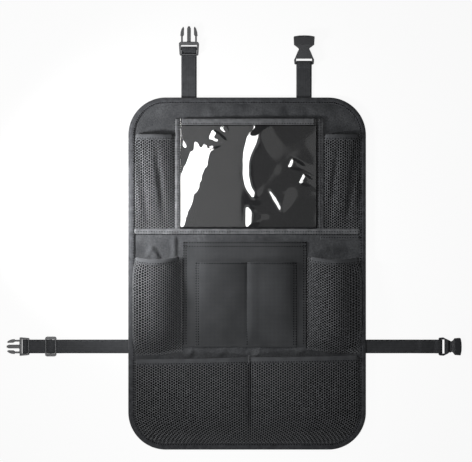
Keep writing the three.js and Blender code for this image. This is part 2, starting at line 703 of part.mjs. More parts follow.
// Round bar across a slot, eight sided
function bar(width, s0, s1, z0, z1) {
  const ease = Math.min(s1 - s0, z1 - z0) * 0.28;
  const shape = new THREE.Shape([
    [s0 + ease, z0], [s1 - ease, z0], [s1, z0 + ease], [s1, z1 - ease],
    [s1 - ease, z1], [s0 + ease, z1], [s0, z1 - ease], [s0, z0 + ease],
  ].map(([s, z]) => new THREE.Vector2(s, z)));
  const geometry = new THREE.ExtrudeGeometry(shape, { depth: width, bevelEnabled: false });
  geometry.applyMatrix4(new THREE.Matrix4().makeBasis(
    new THREE.Vector3(0, 1, 0),
    new THREE.Vector3(0, 0, 1),
    new THREE.Vector3(1, 0, 0),
  ));
  geometry.translate(-width / 2, 0, 0);
  return solid(geometry);
}

// Half of an outline drawn by a function, closed by its mirror image
function mirroredShape(points) {
  const right = points.map(([u, s]) => new THREE.Vector2(u, s));
  const left = points.filter(([u]) => u > 0).map(([u, s]) => new THREE.Vector2(-u, s)).reverse();
  return new THREE.Shape([...right, ...left]);
}

// Spring arm with its barbed head, on the right of the prong
function armShape(root, length, outer) {
  const shape = new THREE.Shape();
  const stem = outer - BARB;
  const head = root + length * 0.4;
  const tip = root + length;
  shape.moveTo(stem, root - 2);
  shape.lineTo(stem, head);
  shape.lineTo(outer, head);
  shape.quadraticCurveTo(outer - 0.2, mix(head, tip, 0.7), outer - ARM_HEAD + 1.2, tip);
  shape.quadraticCurveTo(outer - ARM_HEAD - 0.8, tip - 1.5, outer - ARM_HEAD, mix(head, tip, 0.6));
  shape.lineTo(outer - ARM_HEAD, head + 2);
  shape.lineTo(stem - ARM_STEM, head - 1);
  shape.lineTo(stem - ARM_STEM, root - 2);
  return shape;
}

// Male half: a frame with two bars, two spring arms and a centre prong
function maleBuckle(buckle) {
  const { web, armLength } = buckle;
  const turned = maleBar(buckle);
  const slot = (web + SLOT_CLEARANCE) / 2;
  const half = slot + MALE_RAIL;
  const opening = turned.end + buckle.returnSlot;
  const root = opening + buckle.body;
  const outer = buckle.armSpread / 2;
  const frame = mirroredShape([
    [half - 3, 0], [half - 1.4, 0.7], [half - 1, 2.4], [half, opening + 1.5],
    [half - 0.4, opening + 3.2], [outer + 0.4, root - 0.4], [outer - BARB - ARM_STEM - 1, root],
    [PRONG_WIDTH / 2 + 1, root],
  ]);
  const middle = RAIL_HEIGHT / 2;
  const prong = mirroredShape([
    [PRONG_WIDTH / 2 + 1, root - 2], [PRONG_WIDTH / 2, root + 2],
    [PRONG_WIDTH / 2, root + armLength - 3], [PRONG_WIDTH / 2 - 1.6, root + armLength + 0.7],
  ]);
  const right = armShape(root, armLength, outer);
  const left = new THREE.Shape(right.getPoints(3).map((p) => new THREE.Vector2(-p.x, p.y)).reverse());
  const armLow = middle - ARM_HEIGHT / 2;
  const body = raisedOutline(frame, 0, RAIL_HEIGHT, 0.7)
    .subtract(block(-slot, slot, -1, opening, -1, RAIL_HEIGHT + 1))
    .add(bar(web + SLOT_CLEARANCE + 2, 0, buckle.outerBar, RAISED * 2, RAISED * 2 + BAR_HEIGHT))
    .add(bar(web + SLOT_CLEARANCE + 2, turned.start, turned.end, RAISED, turned.top))
    .add(raisedOutline(right, armLow, armLow + ARM_HEIGHT, 0.5))
    .add(raisedOutline(left, armLow, armLow + ARM_HEIGHT, 0.5))
    .add(raisedOutline(prong, middle - PRONG_HEIGHT / 2, middle + PRONG_HEIGHT / 2, 0.6));
  return geometryOf(body);
}

// Female half: a hollow mouth, a necked waist that bares the arms, a slot and a bar
function femaleBuckle(buckle) {
  const { web, femaleLength: length, armLength } = buckle;
  const slot = (web + SLOT_CLEARANCE) / 2;
  const flare = slot + FEMALE_RAIL - 0.6;
  const outer = buckle.armSpread / 2;
  const mouth = outer + SOCKET_CLEARANCE / 2 + buckle.wall;
  const opening = FEMALE_BAR + FEMALE_SLOT;
  const waist = opening + (length - opening) * 0.41;
  const shoulder = opening + (length - opening) * 0.6;
  const outline = mirroredShape([
    [slot + 1.6, 0], [flare - 0.5, 1.2], [flare, opening - 2], [flare - 1.6, opening + 1],
    [FEMALE_NECK / 2 + 2.2, waist - 4.2], [FEMALE_NECK / 2, waist],
    [FEMALE_NECK / 2 + 1.4, waist + 2.4], [mouth - 3, shoulder - 1.6], [mouth - 0.7, shoulder],
    [mouth, length - 2.6], [mouth - 0.8, length - 1.6], [mouth * 0.5, length - 0.3], [0, length],
  ]);
  const side = new THREE.Shape([
    [-1, 0], [length + 1, 0], [length + 1, MOUTH_HEIGHT - 0.4], [length - 3, MOUTH_HEIGHT],
    [shoulder, MOUTH_HEIGHT], [waist, MOUTH_HEIGHT - 1.2], [opening, RAIL_HEIGHT], [-1, RAIL_HEIGHT],
  ].map(([s, z]) => new THREE.Vector2(s, z)));
  const span = 2 * mouth + 4;
  const profile = new THREE.ExtrudeGeometry(side, { depth: span, bevelEnabled: false });
  profile.applyMatrix4(new THREE.Matrix4().makeBasis(
    new THREE.Vector3(0, 1, 0),
    new THREE.Vector3(0, 0, 1),
    new THREE.Vector3(1, 0, 0),
  ));
  profile.translate(-span / 2, 0, 0);
  const reach = outer + SOCKET_CLEARANCE / 2;
  const low = (MOUTH_HEIGHT - ARM_HEIGHT - 2 * SOCKET_CLEARANCE) / 2;
  const depth = length - armLength - 1.5;
  const body = raisedOutline(outline, 0, MOUTH_HEIGHT, 0.8)
    .intersect(solid(profile))
    .subtract(block(-slot, slot, -1, opening, -1, MOUTH_HEIGHT + 1))
    .subtract(block(-reach, reach, Math.max(depth, opening + 3), length + 2, low, MOUTH_HEIGHT - low))
    .add(bar(web + SLOT_CLEARANCE + 2, 0, FEMALE_BAR, RAISED, FEMALE_BAR_PLACE.top));
  return geometryOf(body);
}

// Slider with three bars that the side strap weaves through
function slider() {
  const slot = (SIDE_WEBBING + SLOT_CLEARANCE) / 2;
  const half = slot + SLIDER_RAIL;
  const middle = SLIDER_LENGTH / 2;
  const end = SLIDER_END_BAR;
  const corner = 3;
  const height = RAISED * 2 + SLIDER_BAR_HEIGHT;
  const outline = mirroredShape([
    [half - corner, 0], [half - 0.9, 0.9], [half, corner], [half, SLIDER_LENGTH - corner],
    [half - 0.9, SLIDER_LENGTH - 0.9], [half - corner, SLIDER_LENGTH],
  ]);
  const width = SIDE_WEBBING + SLOT_CLEARANCE + 2;
  const body = raisedOutline(outline, 0, height + 0.6, 0.6)
    .subtract(block(-slot, slot, -1, SLIDER_LENGTH + 1, -1, height + 2))
    .add(bar(width, 0, end, RAISED * 2, height))
    .add(bar(width, SLIDER_LENGTH - end, SLIDER_LENGTH, RAISED * 2, height))
    .add(bar(width, middle - SLIDER_CENTRE_BAR / 2, middle + SLIDER_CENTRE_BAR / 2, RAISED,
      RAISED + SLIDER_BAR_HEIGHT));
  return geometryOf(body);
}

const group = new THREE.Group();

function place(name, geometry, color, roughness, position = [0, 0, 0], turn = 0) {
  const material = new THREE.MeshStandardMaterial({ color, roughness, metalness: 0 });
  const mesh = new THREE.Mesh(geometry, material);
  mesh.name = name;
  mesh.position.set(...position);
  mesh.rotation.z = THREE.MathUtils.degToRad(turn);
  group.add(mesh);
}

// Panel and binding
place('back_panel', backPanel(), CLOTH_BLACK, 0.9);
place('edge_binding', edgeBinding(), TAPE_BLACK, 0.85);

// Tablet window and its trims
const film = windowFilm();
const trimFoot = ROW_TAPE_TOP + GAP;
const trimTop = WINDOW_TOP + GAP + TAPE_THICKNESS;
const leftTrim = [WINDOW_LEFT - LEFT_TRIM_WIDTH / 2, WINDOW_LEFT + LEFT_TRIM_WIDTH / 2];
const rightTrim = [WINDOW_RIGHT - RIGHT_TRIM_WIDTH / 2, WINDOW_RIGHT + RIGHT_TRIM_WIDTH / 2];
const tapeEnd = HALF_WIDTH - BINDING_WIDTH - GAP - 0.1;
const tapeColumns = [tapeEnd, HALF_WIDTH - RIM_FLAT, HALF_WIDTH - RIM_END];
place('window_film', clothSolid(film, FILM_THICKNESS), FILM_SMOKE, 0.15);
place('window_binding_top', hemSolid(film, FILM_THICKNESS, 2), TAPE_BLACK, 0.8);
place('window_binding_left', tape(leftTrim, trimFoot, trimTop), TAPE_BLACK, 0.8);
place('window_binding_right', tape(rightTrim, trimFoot, trimTop), TAPE_BLACK, 0.8);
place('upper_row_tape', tape([...tapeColumns.map((x) => -x), ...[...tapeColumns].reverse()],
  ROW_TAPE_TOP - ROW_TAPE_WIDTH, ROW_TAPE_TOP), TAPE_BLACK, 0.8);

// Mesh pockets and their hems
for (const [name, side] of [['left', -1], ['right', 1]]) {
  const upper = upperPocket(side);
  const middle = middlePocket(side);
  place(`upper_${name}_mesh`, clothSolid(upper, MESH_THICKNESS), MESH_BLACK, 0.9);
  place(`upper_${name}_hem`, hemSolid(upper, MESH_THICKNESS, 2), TAPE_BLACK, 0.8);
  place(`middle_${name}_mesh`, clothSolid(middle, MESH_THICKNESS), MESH_BLACK, 0.9);
  place(`middle_${name}_hem`, hemSolid(middle, MESH_THICKNESS, 2), TAPE_BLACK, 0.8);
}
const bottom = bottomGrid();
place('bottom_mesh', clothSolid(bottom, MESH_THICKNESS), MESH_BLACK, 0.9);
place('bottom_hem', hemSolid(bottom, MESH_THICKNESS, 2), TAPE_BLACK, 0.8);

// Document pockets
const documentSheet = documentGrid();
place('document_pocket', clothSolid(documentSheet, POCKET_THICKNESS), CLOTH_BLACK, 0.9);
place('front_pocket', clothSolid(frontGrid(documentSheet), POCKET_THICKNESS), CLOTH_BLACK, 0.9);

// Top straps, one with each half of a buckle
const topEdge = HALF_HEIGHT;
const topMalePath = strapPath(TOP_LEFT_REACH, TOP_OUTER_BAR + 0.5, maleBar(TOP_BUCKLE), LOOP_TAIL,
  plainLead(TOP_LEFT_REACH, LOOP_TAIL));
const topFemalePath = strapPath(TOP_RIGHT_REACH, -6, FEMALE_BAR_PLACE, LOOP_TAIL - 8,
  plainLead(TOP_RIGHT_REACH, LOOP_TAIL - 8));
place('top_left_strap', webbing(topMalePath, TOP_WEBBING), WEBBING_BLACK, 0.8,
  [TOP_LEFT_CENTRE, topEdge, 0]);
place('top_right_strap', webbing(topFemalePath, TOP_WEBBING), WEBBING_BLACK, 0.8,
  [TOP_RIGHT_CENTRE, topEdge, 0]);
place('top_male_buckle', maleBuckle(TOP_BUCKLE), PLASTIC_BLACK, 0.4,
  [TOP_LEFT_CENTRE, topEdge + TOP_LEFT_REACH, 0]);
place('top_female_buckle', femaleBuckle(TOP_BUCKLE), PLASTIC_BLACK, 0.4,
  [TOP_RIGHT_CENTRE, topEdge + TOP_RIGHT_REACH, 0]);

// Side straps: the left one weaves through the slider, where its tail ends
const sideTail = LEFT_REACH - SLIDER_REACH - SLIDER_LENGTH / 2;
const leftPath = strapPath(LEFT_REACH, SIDE_OUTER_BAR + 0.5, maleBar(SIDE_BUCKLE), sideTail,
  sliderLead);
const rightPath = strapPath(RIGHT_REACH, -6, FEMALE_BAR_PLACE, LOOP_TAIL - 8,
  plainLead(RIGHT_REACH, LOOP_TAIL - 8));
place('left_side_strap', webbing(leftPath, SIDE_WEBBING), WEBBING_BLACK, 0.8,
  [-HALF_WIDTH, SIDE_CENTRE, 0], 90);
place('right_side_strap', webbing(rightPath, SIDE_WEBBING), WEBBING_BLACK, 0.8,
  [HALF_WIDTH, SIDE_CENTRE, 0], -90);
place('side_male_buckle', maleBuckle(SIDE_BUCKLE), PLASTIC_BLACK, 0.4,
  [-HALF_WIDTH - LEFT_REACH, SIDE_CENTRE, 0], 90);
place('side_female_buckle', femaleBuckle(SIDE_BUCKLE), PLASTIC_BLACK, 0.4,
  [HALF_WIDTH + RIGHT_REACH, SIDE_CENTRE, 0], -90);
place('side_slider', slider(), PLASTIC_BLACK, 0.4,
  [-HALF_WIDTH - SLIDER_REACH, SIDE_CENTRE, 0], 90);

export default group;
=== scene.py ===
"""Seat back storage organizer, dressed for its picture: cloth, net, film, tape, webbing and buckles."""

import math

import bmesh
import bpy
from mathutils import Matrix, Vector, noise


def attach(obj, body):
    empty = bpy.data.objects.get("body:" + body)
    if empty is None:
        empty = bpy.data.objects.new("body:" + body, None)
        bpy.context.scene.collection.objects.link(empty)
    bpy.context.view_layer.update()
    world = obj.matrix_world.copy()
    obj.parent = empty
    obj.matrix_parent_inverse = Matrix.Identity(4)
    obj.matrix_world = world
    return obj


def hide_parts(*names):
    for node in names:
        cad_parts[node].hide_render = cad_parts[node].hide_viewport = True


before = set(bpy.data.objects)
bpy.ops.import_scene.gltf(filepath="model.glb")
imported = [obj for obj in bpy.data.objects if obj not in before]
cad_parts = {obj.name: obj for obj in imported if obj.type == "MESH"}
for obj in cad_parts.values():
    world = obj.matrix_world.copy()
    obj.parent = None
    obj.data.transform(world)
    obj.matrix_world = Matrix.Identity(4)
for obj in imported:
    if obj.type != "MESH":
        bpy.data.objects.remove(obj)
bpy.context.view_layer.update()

# Millimetres, as the maker's drawing has them
PANEL_WIDTH = 400
PANEL_HEIGHT = 593
HALF_WIDTH = PANEL_WIDTH / 2
HALF_HEIGHT = PANEL_HEIGHT / 2
CORNER_RADIUS = 63
PANEL_THICKNESS = 1.2
BINDING_WIDTH = 10
RIM_FLAT = 14
RIM_SLOPE = 16
TAPE = 0.6
NET = 0.6
FILM = 0.5
POCKET = 0.9
WEBBING = 1.2
GAP = 0.3
SEAM_ALLOWANCE = 4
HEM_WIDTH = 8
WINDOW_LEFT = 82.2 - HALF_WIDTH
WINDOW_RIGHT = HALF_WIDTH - 76.6
WINDOW_TOP = HALF_HEIGHT - 36.5
WINDOW_TOP_BAND = 9.5
LEFT_TRIM_WIDTH = 7.8
RIGHT_TRIM_WIDTH = 10.8
ROW_TAPE_TOP = HALF_HEIGHT - 221.1
ROW_TAPE_WIDTH = 8.4
FILM_DEPTH = 3.4
UPPER_MOUTH = HALF_HEIGHT - 62.9
UPPER_DEPTH = 12
FOLD_DEPTH = 5      # 2 mm deeper than in the source, because the net's holes hide much of a fold
FOLD_WIDTH = 9
MIDDLE_MOUTH = HALF_HEIGHT - 267.5
MIDDLE_SAG = 6
MIDDLE_FOOT = 164 - HALF_HEIGHT
MIDDLE_FOOT_RISE = 6
MIDDLE_FOOT_TILT = 1.7
BOTTLE_DEPTH = 28
DOCUMENT_LEFT = 92.1 - HALF_WIDTH
DOCUMENT_RIGHT = HALF_WIDTH - 99.7
DOCUMENT_MOUTH = HALF_HEIGHT - 242.5
DOCUMENT_FOOT = 172.5 + SEAM_ALLOWANCE - HALF_HEIGHT
DOCUMENT_DEPTH = 7
FRONT_LEFT = DOCUMENT_LEFT + 20.9
FRONT_RIGHT = DOCUMENT_RIGHT - 16.9
FRONT_MOUTH = DOCUMENT_MOUTH - 34.6
FRONT_DEPTH = 9
PLEAT_ROLL = 6
PLEAT_WIDTH = 24
PLEAT_HEIGHT = 2.5
BOTTOM_MOUTH = 154.5 - HALF_HEIGHT
BOTTOM_TILT = 3.5
BOTTOM_DEPTH = 15
BOTTOM_SEAM = 5.7
BOTTOM_HEM_WIDTH = 9
TOP_WEBBING = 26
SIDE_WEBBING = 23
STRAP_TUCK = 13
LOOP_TAIL = 34
TOP_LEFT_CENTRE = 102 - HALF_WIDTH
TOP_RIGHT_CENTRE = HALF_WIDTH - 104
SIDE_CENTRE = 173.5 - HALF_HEIGHT
TOP_LEFT_REACH = 71
TOP_RIGHT_REACH = 56
LEFT_REACH = 167
RIGHT_REACH = 123
SLIDER_REACH = 121.5
SLIDER_LENGTH = 18.8
SLIDER_END_BAR = 2.2
SLIDER_CENTRE_BAR = 4
SLIDER_BAR_HEIGHT = 2
TOP_OUTER_BAR = 2.9
TOP_TURNED_BAR = (9.5, 13.8)
SIDE_OUTER_BAR = 2.2
SIDE_TURNED_BAR = (6.8, 10.2)
FEMALE_BAR = 4.6
FEMALE_RISE = -6
BAR_HEIGHT = 3
RIGHT_STRIP_FOOT = 57.7
RIGHT_STRIP_TOP = 63.3
PACKING_CREASE = -9
OPEN_ROW_FOOT = 22
BINDING_LENGTH = 1870
BINDING_STITCH_SHARE = 0.925
HEM_STITCHES_IN = 2.1
TACK_ROWS = (2.4, 4.0)
TACK_STITCHING = 30

# Real net holes and stitches are about 3 mm long: both are drawn larger so that the picture shows them
NET_PITCH = 4.5
NET_HOLE_SHARE = 0.44
NET_YARN_DEPTH = 0.85
NET_FRONT_SHARE = 0.6
NET_OVERHANG = 8
STITCH_PITCH = 4.4
BEAD_LENGTH = 1.2
BEAD_WIDTH = 1.0
BEAD_HEIGHT = 0.8
FILM_STITCH_DENSITY = 2.2

# Crown of each tape across its width, and the groove that its stitches pull in
BINDING_CROWN = 0.7
BINDING_GROOVE = 0.5
TRIM_CROWN = 1.1
TRIM_GROOVE = 0.7
TRIM_GROOVE_HALF = 1.3
HEM_CROWN = 0.5
HEM_GROOVE = 0.45

# The picture's size in pixels, the pixel over the panel's middle, and the millimetres in a pixel
PICTURE_WIDTH = 472
PICTURE_HEIGHT = 462
MIDDLE_PIXEL_X = 247.1
MIDDLE_PIXEL_Y = 273.5
PIXEL = 1.6878

RIM_LIFT = WEBBING + GAP + TAPE + GAP
RIM_END = RIM_FLAT + RIM_SLOPE
BINDING_EDGE = BINDING_WIDTH + 0.5
TRIM_LEVEL = GAP + NET + GAP
RAISED = WEBBING + GAP
BINDING_TOP = RIM_LIFT + PANEL_THICKNESS + TRIM_LEVEL + TAPE
LEFT_TRIM_OUTSIDE = WINDOW_LEFT - LEFT_TRIM_WIDTH / 2
LEFT_TRIM_INSIDE = WINDOW_LEFT + LEFT_TRIM_WIDTH / 2
RIGHT_TRIM_INSIDE = WINDOW_RIGHT - RIGHT_TRIM_WIDTH / 2
RIGHT_TRIM_OUTSIDE = WINDOW_RIGHT + RIGHT_TRIM_WIDTH / 2


def clamp(value, low=0.0, high=1.0):
    return min(max(value, low), high)


def mix(a, b, t):
    return a + (b - a) * t


def smooth(t):
    t = clamp(t)
    return t * t * (3 - 2 * t)


def rise(t):
    return math.sin(math.pi / 2 * clamp(t))


def arch(share, power):
    return max(math.sin(math.pi * clamp(share)), 0) ** power


def band(value, low, high, ease):
    """1 between two values, fading to 0 at them over an easing distance."""
    return smooth((value - low) / ease) * smooth((high - value) / ease)


def ruffle(x, y, size, seed):
    """Soft uneven waves, from -1 to 1, about one wave in each size millimetres."""
    return noise.noise(Vector((x / size, y / size, seed)))


def metres(x, y, z):
    return Vector((x, y, z)) * 0.001


# The panel's outline and front face

def inset_at(x, y):
    """Distance from the panel's rounded outline to a point inside it."""
    qx = abs(x) - (HALF_WIDTH - CORNER_RADIUS)
    qy = abs(y) - (HALF_HEIGHT - CORNER_RADIUS)
    outside = math.hypot(max(qx, 0), max(qy, 0))
    return CORNER_RADIUS - outside - min(max(qx, qy), 0)


def half_width_at(y, inset):
    """Half the panel's width at a height, inside its outline by an inset."""
    into = abs(y) - (HALF_HEIGHT - CORNER_RADIUS)
    if into <= 0:
        return HALF_WIDTH - inset
    radius = CORNER_RADIUS - inset
    return HALF_WIDTH - CORNER_RADIUS + math.sqrt(max(radius**2 - into**2, 0))


def panel_top(x, y):
    return PANEL_THICKNESS + RIM_LIFT * clamp((RIM_END - inset_at(x, y)) / RIM_SLOPE)


# Turning a bmesh into a finished piece

def finish_piece(mesh, name, material, nodes=()):
    """A bmesh becomes a piece that rides on the body and stands for its CAD nodes."""
    data = bpy.data.meshes.new(name)
    for face in mesh.faces:
        face.smooth = True
    mesh.to_mesh(data)
    mesh.free()
    data.materials.append(material)
    piece = bpy.data.objects.new(name, data)
    bpy.context.scene.collection.objects.link(piece)
    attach(piece, "root")
    if nodes:
        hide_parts(*nodes)
    return piece


def thicken(piece, thickness, offset):
    """Gives a sheet its thickness: outwards at offset 1, inwards at -1 and half each way at 0."""
    modifier = piece.modifiers.new("Thickness", "SOLIDIFY")
    modifier.thickness = thickness * 0.001
    modifier.offset = offset
    modifier.use_even_offset = False


def laid_grid(columns, rows, point):
    """A flat grid whose points are laid in place by point(u, v), both from 0 to 1."""
    mesh = bmesh.new()
    bmesh.ops.create_grid(mesh, x_segments=columns, y_segments=rows, size=0.5)
    for vert in mesh.verts:
        vert.co = metres(*point(clamp(vert.co.x + 0.5), clamp(vert.co.y + 0.5)))
    return mesh


def laid_net(width, length, point):
    """Knitted net: a lattice of triangles whose corners are opened into holes, then laid in place."""
    columns = round(width / (NET_PITCH * math.sqrt(0.75))) + 2
    rows = round(length / NET_PITCH) + 2
    column_width, row_height = width / (columns - 2), length / (rows - 2)
    mesh = bmesh.new()
    bmesh.ops.create_grid(mesh, x_segments=columns, y_segments=rows, size=0.5)
    for vert in mesh.verts:
        column = round((vert.co.x + 0.5) * columns)
        shift = 0.25 * (-1) ** column / rows if abs(vert.co.y) < 0.4999 else 0
        across, along = (vert.co.x + 0.5) * columns - 1, (vert.co.y + 0.5 + shift) * rows - 1
        vert.co = Vector((across * column_width, along * row_height, 0))
    bmesh.ops.triangulate(mesh, faces=mesh.faces[:], quad_method="SHORT_EDGE")
    inner = [vert for vert in mesh.verts if not vert.is_boundary]
    opened = bmesh.ops.bevel(mesh, geom=inner, affect="VERTICES", offset=NET_PITCH * NET_HOLE_SHARE,
                             offset_type="OFFSET", segments=1, profile=0.5, material=-1)
    border = []
    for face in mesh.faces:
        middle = face.calc_center_median()
        if min(middle.x, width - middle.x, middle.y, length - middle.y) < 0:
            border.append(face)
    bmesh.ops.delete(mesh, geom=list(set(opened["faces"] + border)), context="FACES")
    for vert in mesh.verts:
        vert.co = metres(*point(clamp(vert.co.x / width), clamp(vert.co.y / length)))
    return mesh


def sew(name, paths, material=None):
    """Rows of stitches: short thread beads along paths, each a function of 0 to 1 and a length."""
    mesh = bmesh.new()
    for path, length in paths:
        count = round(length / STITCH_PITCH)
        for i in range(count):
            middle = (i + 0.5) / count
            at = Vector(path(middle))
            before, after = max(middle - 0.3 / count, 0), min(middle + 0.3 / count, 1)
            run = (Vector(path(after)) - Vector(path(before))).normalized()
            side = Vector((0, 0, 1)).cross(run).normalized()
            axes = (run * BEAD_LENGTH, side * BEAD_WIDTH, run.cross(side) * BEAD_HEIGHT)
            place = Matrix.Translation(at) @ Matrix(axes).transposed().to_4x4()
            bmesh.ops.create_icosphere(mesh, subdivisions=1, radius=1, matrix=Matrix.Scale(0.001, 4) @ place)
    return finish_piece(mesh, name, material or THREAD)


# Cloth shapes: each gives the height of a cloth's under face at x, y

def share_across(x, y, seam, side):
    """How far a point lies from the panel's rim to a side pocket's inner seam, from 0 to 1."""
    from_rim = max(inset_at(x, y) - BINDING_EDGE, 0)
    from_seam = max(side * (x - seam), 0)
    return from_rim / (from_rim + from_seam) if from_seam > 0 else 1


def line_share(x, y, start, end):
    """How far along a straight line a point lies, and its distance to the line's left."""
    along = Vector((end[0] - start[0], end[1] - start[1]))
    step = Vector((x - start[0], y - start[1]))
    return step.dot(along) / along.length_squared, along.cross(step) / along.length


def fold(x, y, start, end, depth, width):
    """Depth of a soft fold along a straight line."""
    share, away = line_share(x, y, start, end)
    return depth * math.sin(math.pi * clamp(share)) * (1 - smooth(abs(away) / width))


def upper_height(side):
    seam = (LEFT_TRIM_OUTSIDE if side < 0 else RIGHT_TRIM_OUTSIDE) + side * GAP
    top = UPPER_MOUTH - SEAM_ALLOWANCE
    foot = ROW_TAPE_TOP + HEM_WIDTH

    def height(x, y):
        up = (y - ROW_TAPE_TOP) / (UPPER_MOUTH - ROW_TAPE_TOP)
        share = share_across(x, y, seam, side)
        if up <= 0 or share <= 0 or share >= 1:
            return panel_top(x, y) + GAP
        folds = fold(x, y, (side * 185, top), (side * 168, foot), FOLD_DEPTH, FOLD_WIDTH)
        folds += fold(x, y, (side * 155, top), (side * 139, foot), FOLD_DEPTH, FOLD_WIDTH)
        lift = UPPER_DEPTH * arch(share, 0.7) * rise(up * 2.2) * mix(0.75, 1, up)
        return panel_top(x, y) + GAP + lift - min(folds, lift * 0.5)

    return height


def middle_lines(side):
    """A bottle pocket's inner edge, and its mouth and foot as functions of x."""
    edge = DOCUMENT_LEFT - 2 * GAP if side < 0 else DOCUMENT_RIGHT + 2 * GAP

    def across(x):
        return clamp((HALF_WIDTH - abs(x)) / (HALF_WIDTH - abs(edge)))

    def mouth(x):
        return MIDDLE_MOUTH - MIDDLE_SAG * math.sin(math.pi * across(x))

    def foot(x):
        return MIDDLE_FOOT + side * MIDDLE_FOOT_TILT + MIDDLE_FOOT_RISE * smooth((across(x) - 0.5) * 2)

    return edge, mouth, foot


def middle_height(side):
    edge, mouth, foot = middle_lines(side)
    seam = edge + side * SEAM_ALLOWANCE

    def height(x, y):
        up = (y - foot(x)) / (mouth(x) - foot(x))
        share = share_across(x, y, seam, side)
        if up <= 0 or share <= 0 or share >= 1:
            return panel_top(x, y) + GAP
        belly = rise(up * 3.2) * mix(1, 0.78, smooth((up - 0.55) / 0.45))
        return panel_top(x, y) + GAP + BOTTLE_DEPTH * arch(share, 0.75) * belly

    return height


def document_height(x, y):
    left = DOCUMENT_LEFT + SEAM_ALLOWANCE
    right = DOCUMENT_RIGHT - SEAM_ALLOWANCE
    up = (y - DOCUMENT_FOOT) / (DOCUMENT_MOUTH - DOCUMENT_FOOT)
    base = panel_top(x, y) + GAP
    if up <= 0 or x <= left or x >= right:
        return base
    return base + DOCUMENT_DEPTH * rise((x - left) / 45) * rise((right - x) / 45) * up**0.7


def front_height(x, y):
    left = FRONT_LEFT + SEAM_ALLOWANCE
    right = FRONT_RIGHT - SEAM_ALLOWANCE
    up = (y - DOCUMENT_FOOT) / (FRONT_MOUTH - DOCUMENT_FOOT)
    base = document_height(x, y) + POCKET + GAP
    if up <= 0 or x <= left or x >= right:
        return base
    share = (x - left) / -left if x < 0 else x / right
    fallen = smooth((x - PLEAT_ROLL) / (PLEAT_WIDTH - PLEAT_ROLL))
    pleat = PLEAT_HEIGHT * rise(x / PLEAT_ROLL) * (1 - fallen)
    return base + (FRONT_DEPTH * arch(share, 0.6) * up**0.6 + pleat) * rise(up * 5)


def bottom_mouth(x):
    return BOTTOM_MOUTH + BOTTOM_TILT * x / HALF_WIDTH


def bottom_height(x, y):
    foot = BINDING_EDGE - HALF_HEIGHT
    up = (y - foot) / (bottom_mouth(x) - foot)
    seam = BOTTOM_SEAM * half_width_at(y, SEAM_ALLOWANCE) / (HALF_WIDTH - SEAM_ALLOWANCE)
    from_rim = max(inset_at(x, y) - BINDING_EDGE, 0)
    share = from_rim / max(from_rim + abs(x - seam), 1e-6)
    base = panel_top(x, y) + GAP
    if up <= 0 or from_rim <= 0:
        return base
    pinned = 1.5 * rise(from_rim / 4) * smooth((up - 0.6) / 0.3)
    lift = BOTTOM_DEPTH * arch(share, 0.5) * smooth(up * 2.4) * mix(0.8, 1, up)
    return base + max(lift, pinned)


def ridge(away, width, slope, back):
    """Height over a ridge: its left side has the width and slope, its right side is back times as wide."""
    return slope * width / 1.5 * smooth(away / width + 0.5) * (1 - smooth((away / width - 0.5) / back))


def wrinkle(x, y, foot, head, width, slope, back=5):
    """A ridge along a straight line from its foot to its head, fading at both ends, softer behind it."""
    share, away = line_share(x, y, foot, head)
    ends = 5 / (1 + max(-away, 0) / 12)
    return ridge(-away, width, slope, back) * smooth(share * ends) * smooth((1 - share) * ends)


# The long standing wrinkle down the middle of the film, bent like a bow
BOW_FOOT = 122
BOW_MIDDLE = 173
BOW_HEAD = 262
BOW_WIDTH = 15.5
BOW_SLOPE = 0.165

# The film's slope up from its left side: a line from foot to head, and how far it rises
SLOPE_FOOT = (-121, 96)
SLOPE_HEAD = (-75, 206)
SLOPE_RISE = 3.1
FILM_TURN_UP = 0.8

# Foot, head, width and slope of the film's short wrinkles
SHORT_WRINKLES = [
    ((2.4, 74), (2.4, 117), 15, 0.16), ((61, 100), (34, 146), 10, 0.18), ((70, 177), (78, 196), 11, 0.2),
    ((88, 150), (98, 170), 9, 0.21), ((-62, 227), (-53, 243), 9, 0.12), ((-45, 244), (-36, 252), 4, 0.13),
]


def bow_wrinkle(x, y):
    above = y - BOW_MIDDLE
    middle = above**2 * (0.004 if above > 0 else 0.0072) - 2.4 + 1.5 * ruffle(0, y, 14, 8)
    width = BOW_WIDTH + 13 * smooth((y - 180) / 45)
    soft = 1 + max(x - middle, 0) / 10
    ends = smooth((y - BOW_FOOT) / (10 * soft)) * smooth((BOW_HEAD - y) / (16 * soft))
    return ridge(x - middle, width, BOW_SLOPE, 6) * ends


def film_height(x, y):
    left = LEFT_TRIM_INSIDE + GAP
    right = RIGHT_TRIM_INSIDE - GAP
    base = panel_top(x, y) + GAP
    if y <= ROW_TAPE_TOP or x <= left or x >= right:
        return base
    away = -line_share(x, y, SLOPE_FOOT, SLOPE_HEAD)[1]
    away += 2.2 * ruffle(x, y, 24, 4) + 1.4 * ruffle(x, y, 9, 9)
    spread_out = 44 + 80 * smooth((y - SLOPE_HEAD[1] + 5 * ruffle(x, 0, 12, 1)) / 18)
    lift = FILM_DEPTH + SLOPE_RISE * smooth(away / spread_out + 0.5) + 0.1 * ruffle(x, y, 30, 6)
    lift += bow_wrinkle(x, y) + sum(wrinkle(x, y, *line) for line in SHORT_WRINKLES)
    sides = clamp((x - left) / FILM_TURN_UP) * clamp((right - x) / FILM_TURN_UP)
    return base + lift * sides * rise((y - ROW_TAPE_TOP) / 3)


# Materials

def linear(code):
    """Linear RGBA of an sRGB hex colour."""
    parts = [int(code[i:i + 2], 16) / 255 for i in (1, 3, 5)]
    return [c / 12.92 if c <= 0.04045 else ((c + 0.055) / 1.055) ** 2.4 for c in parts] + [1]


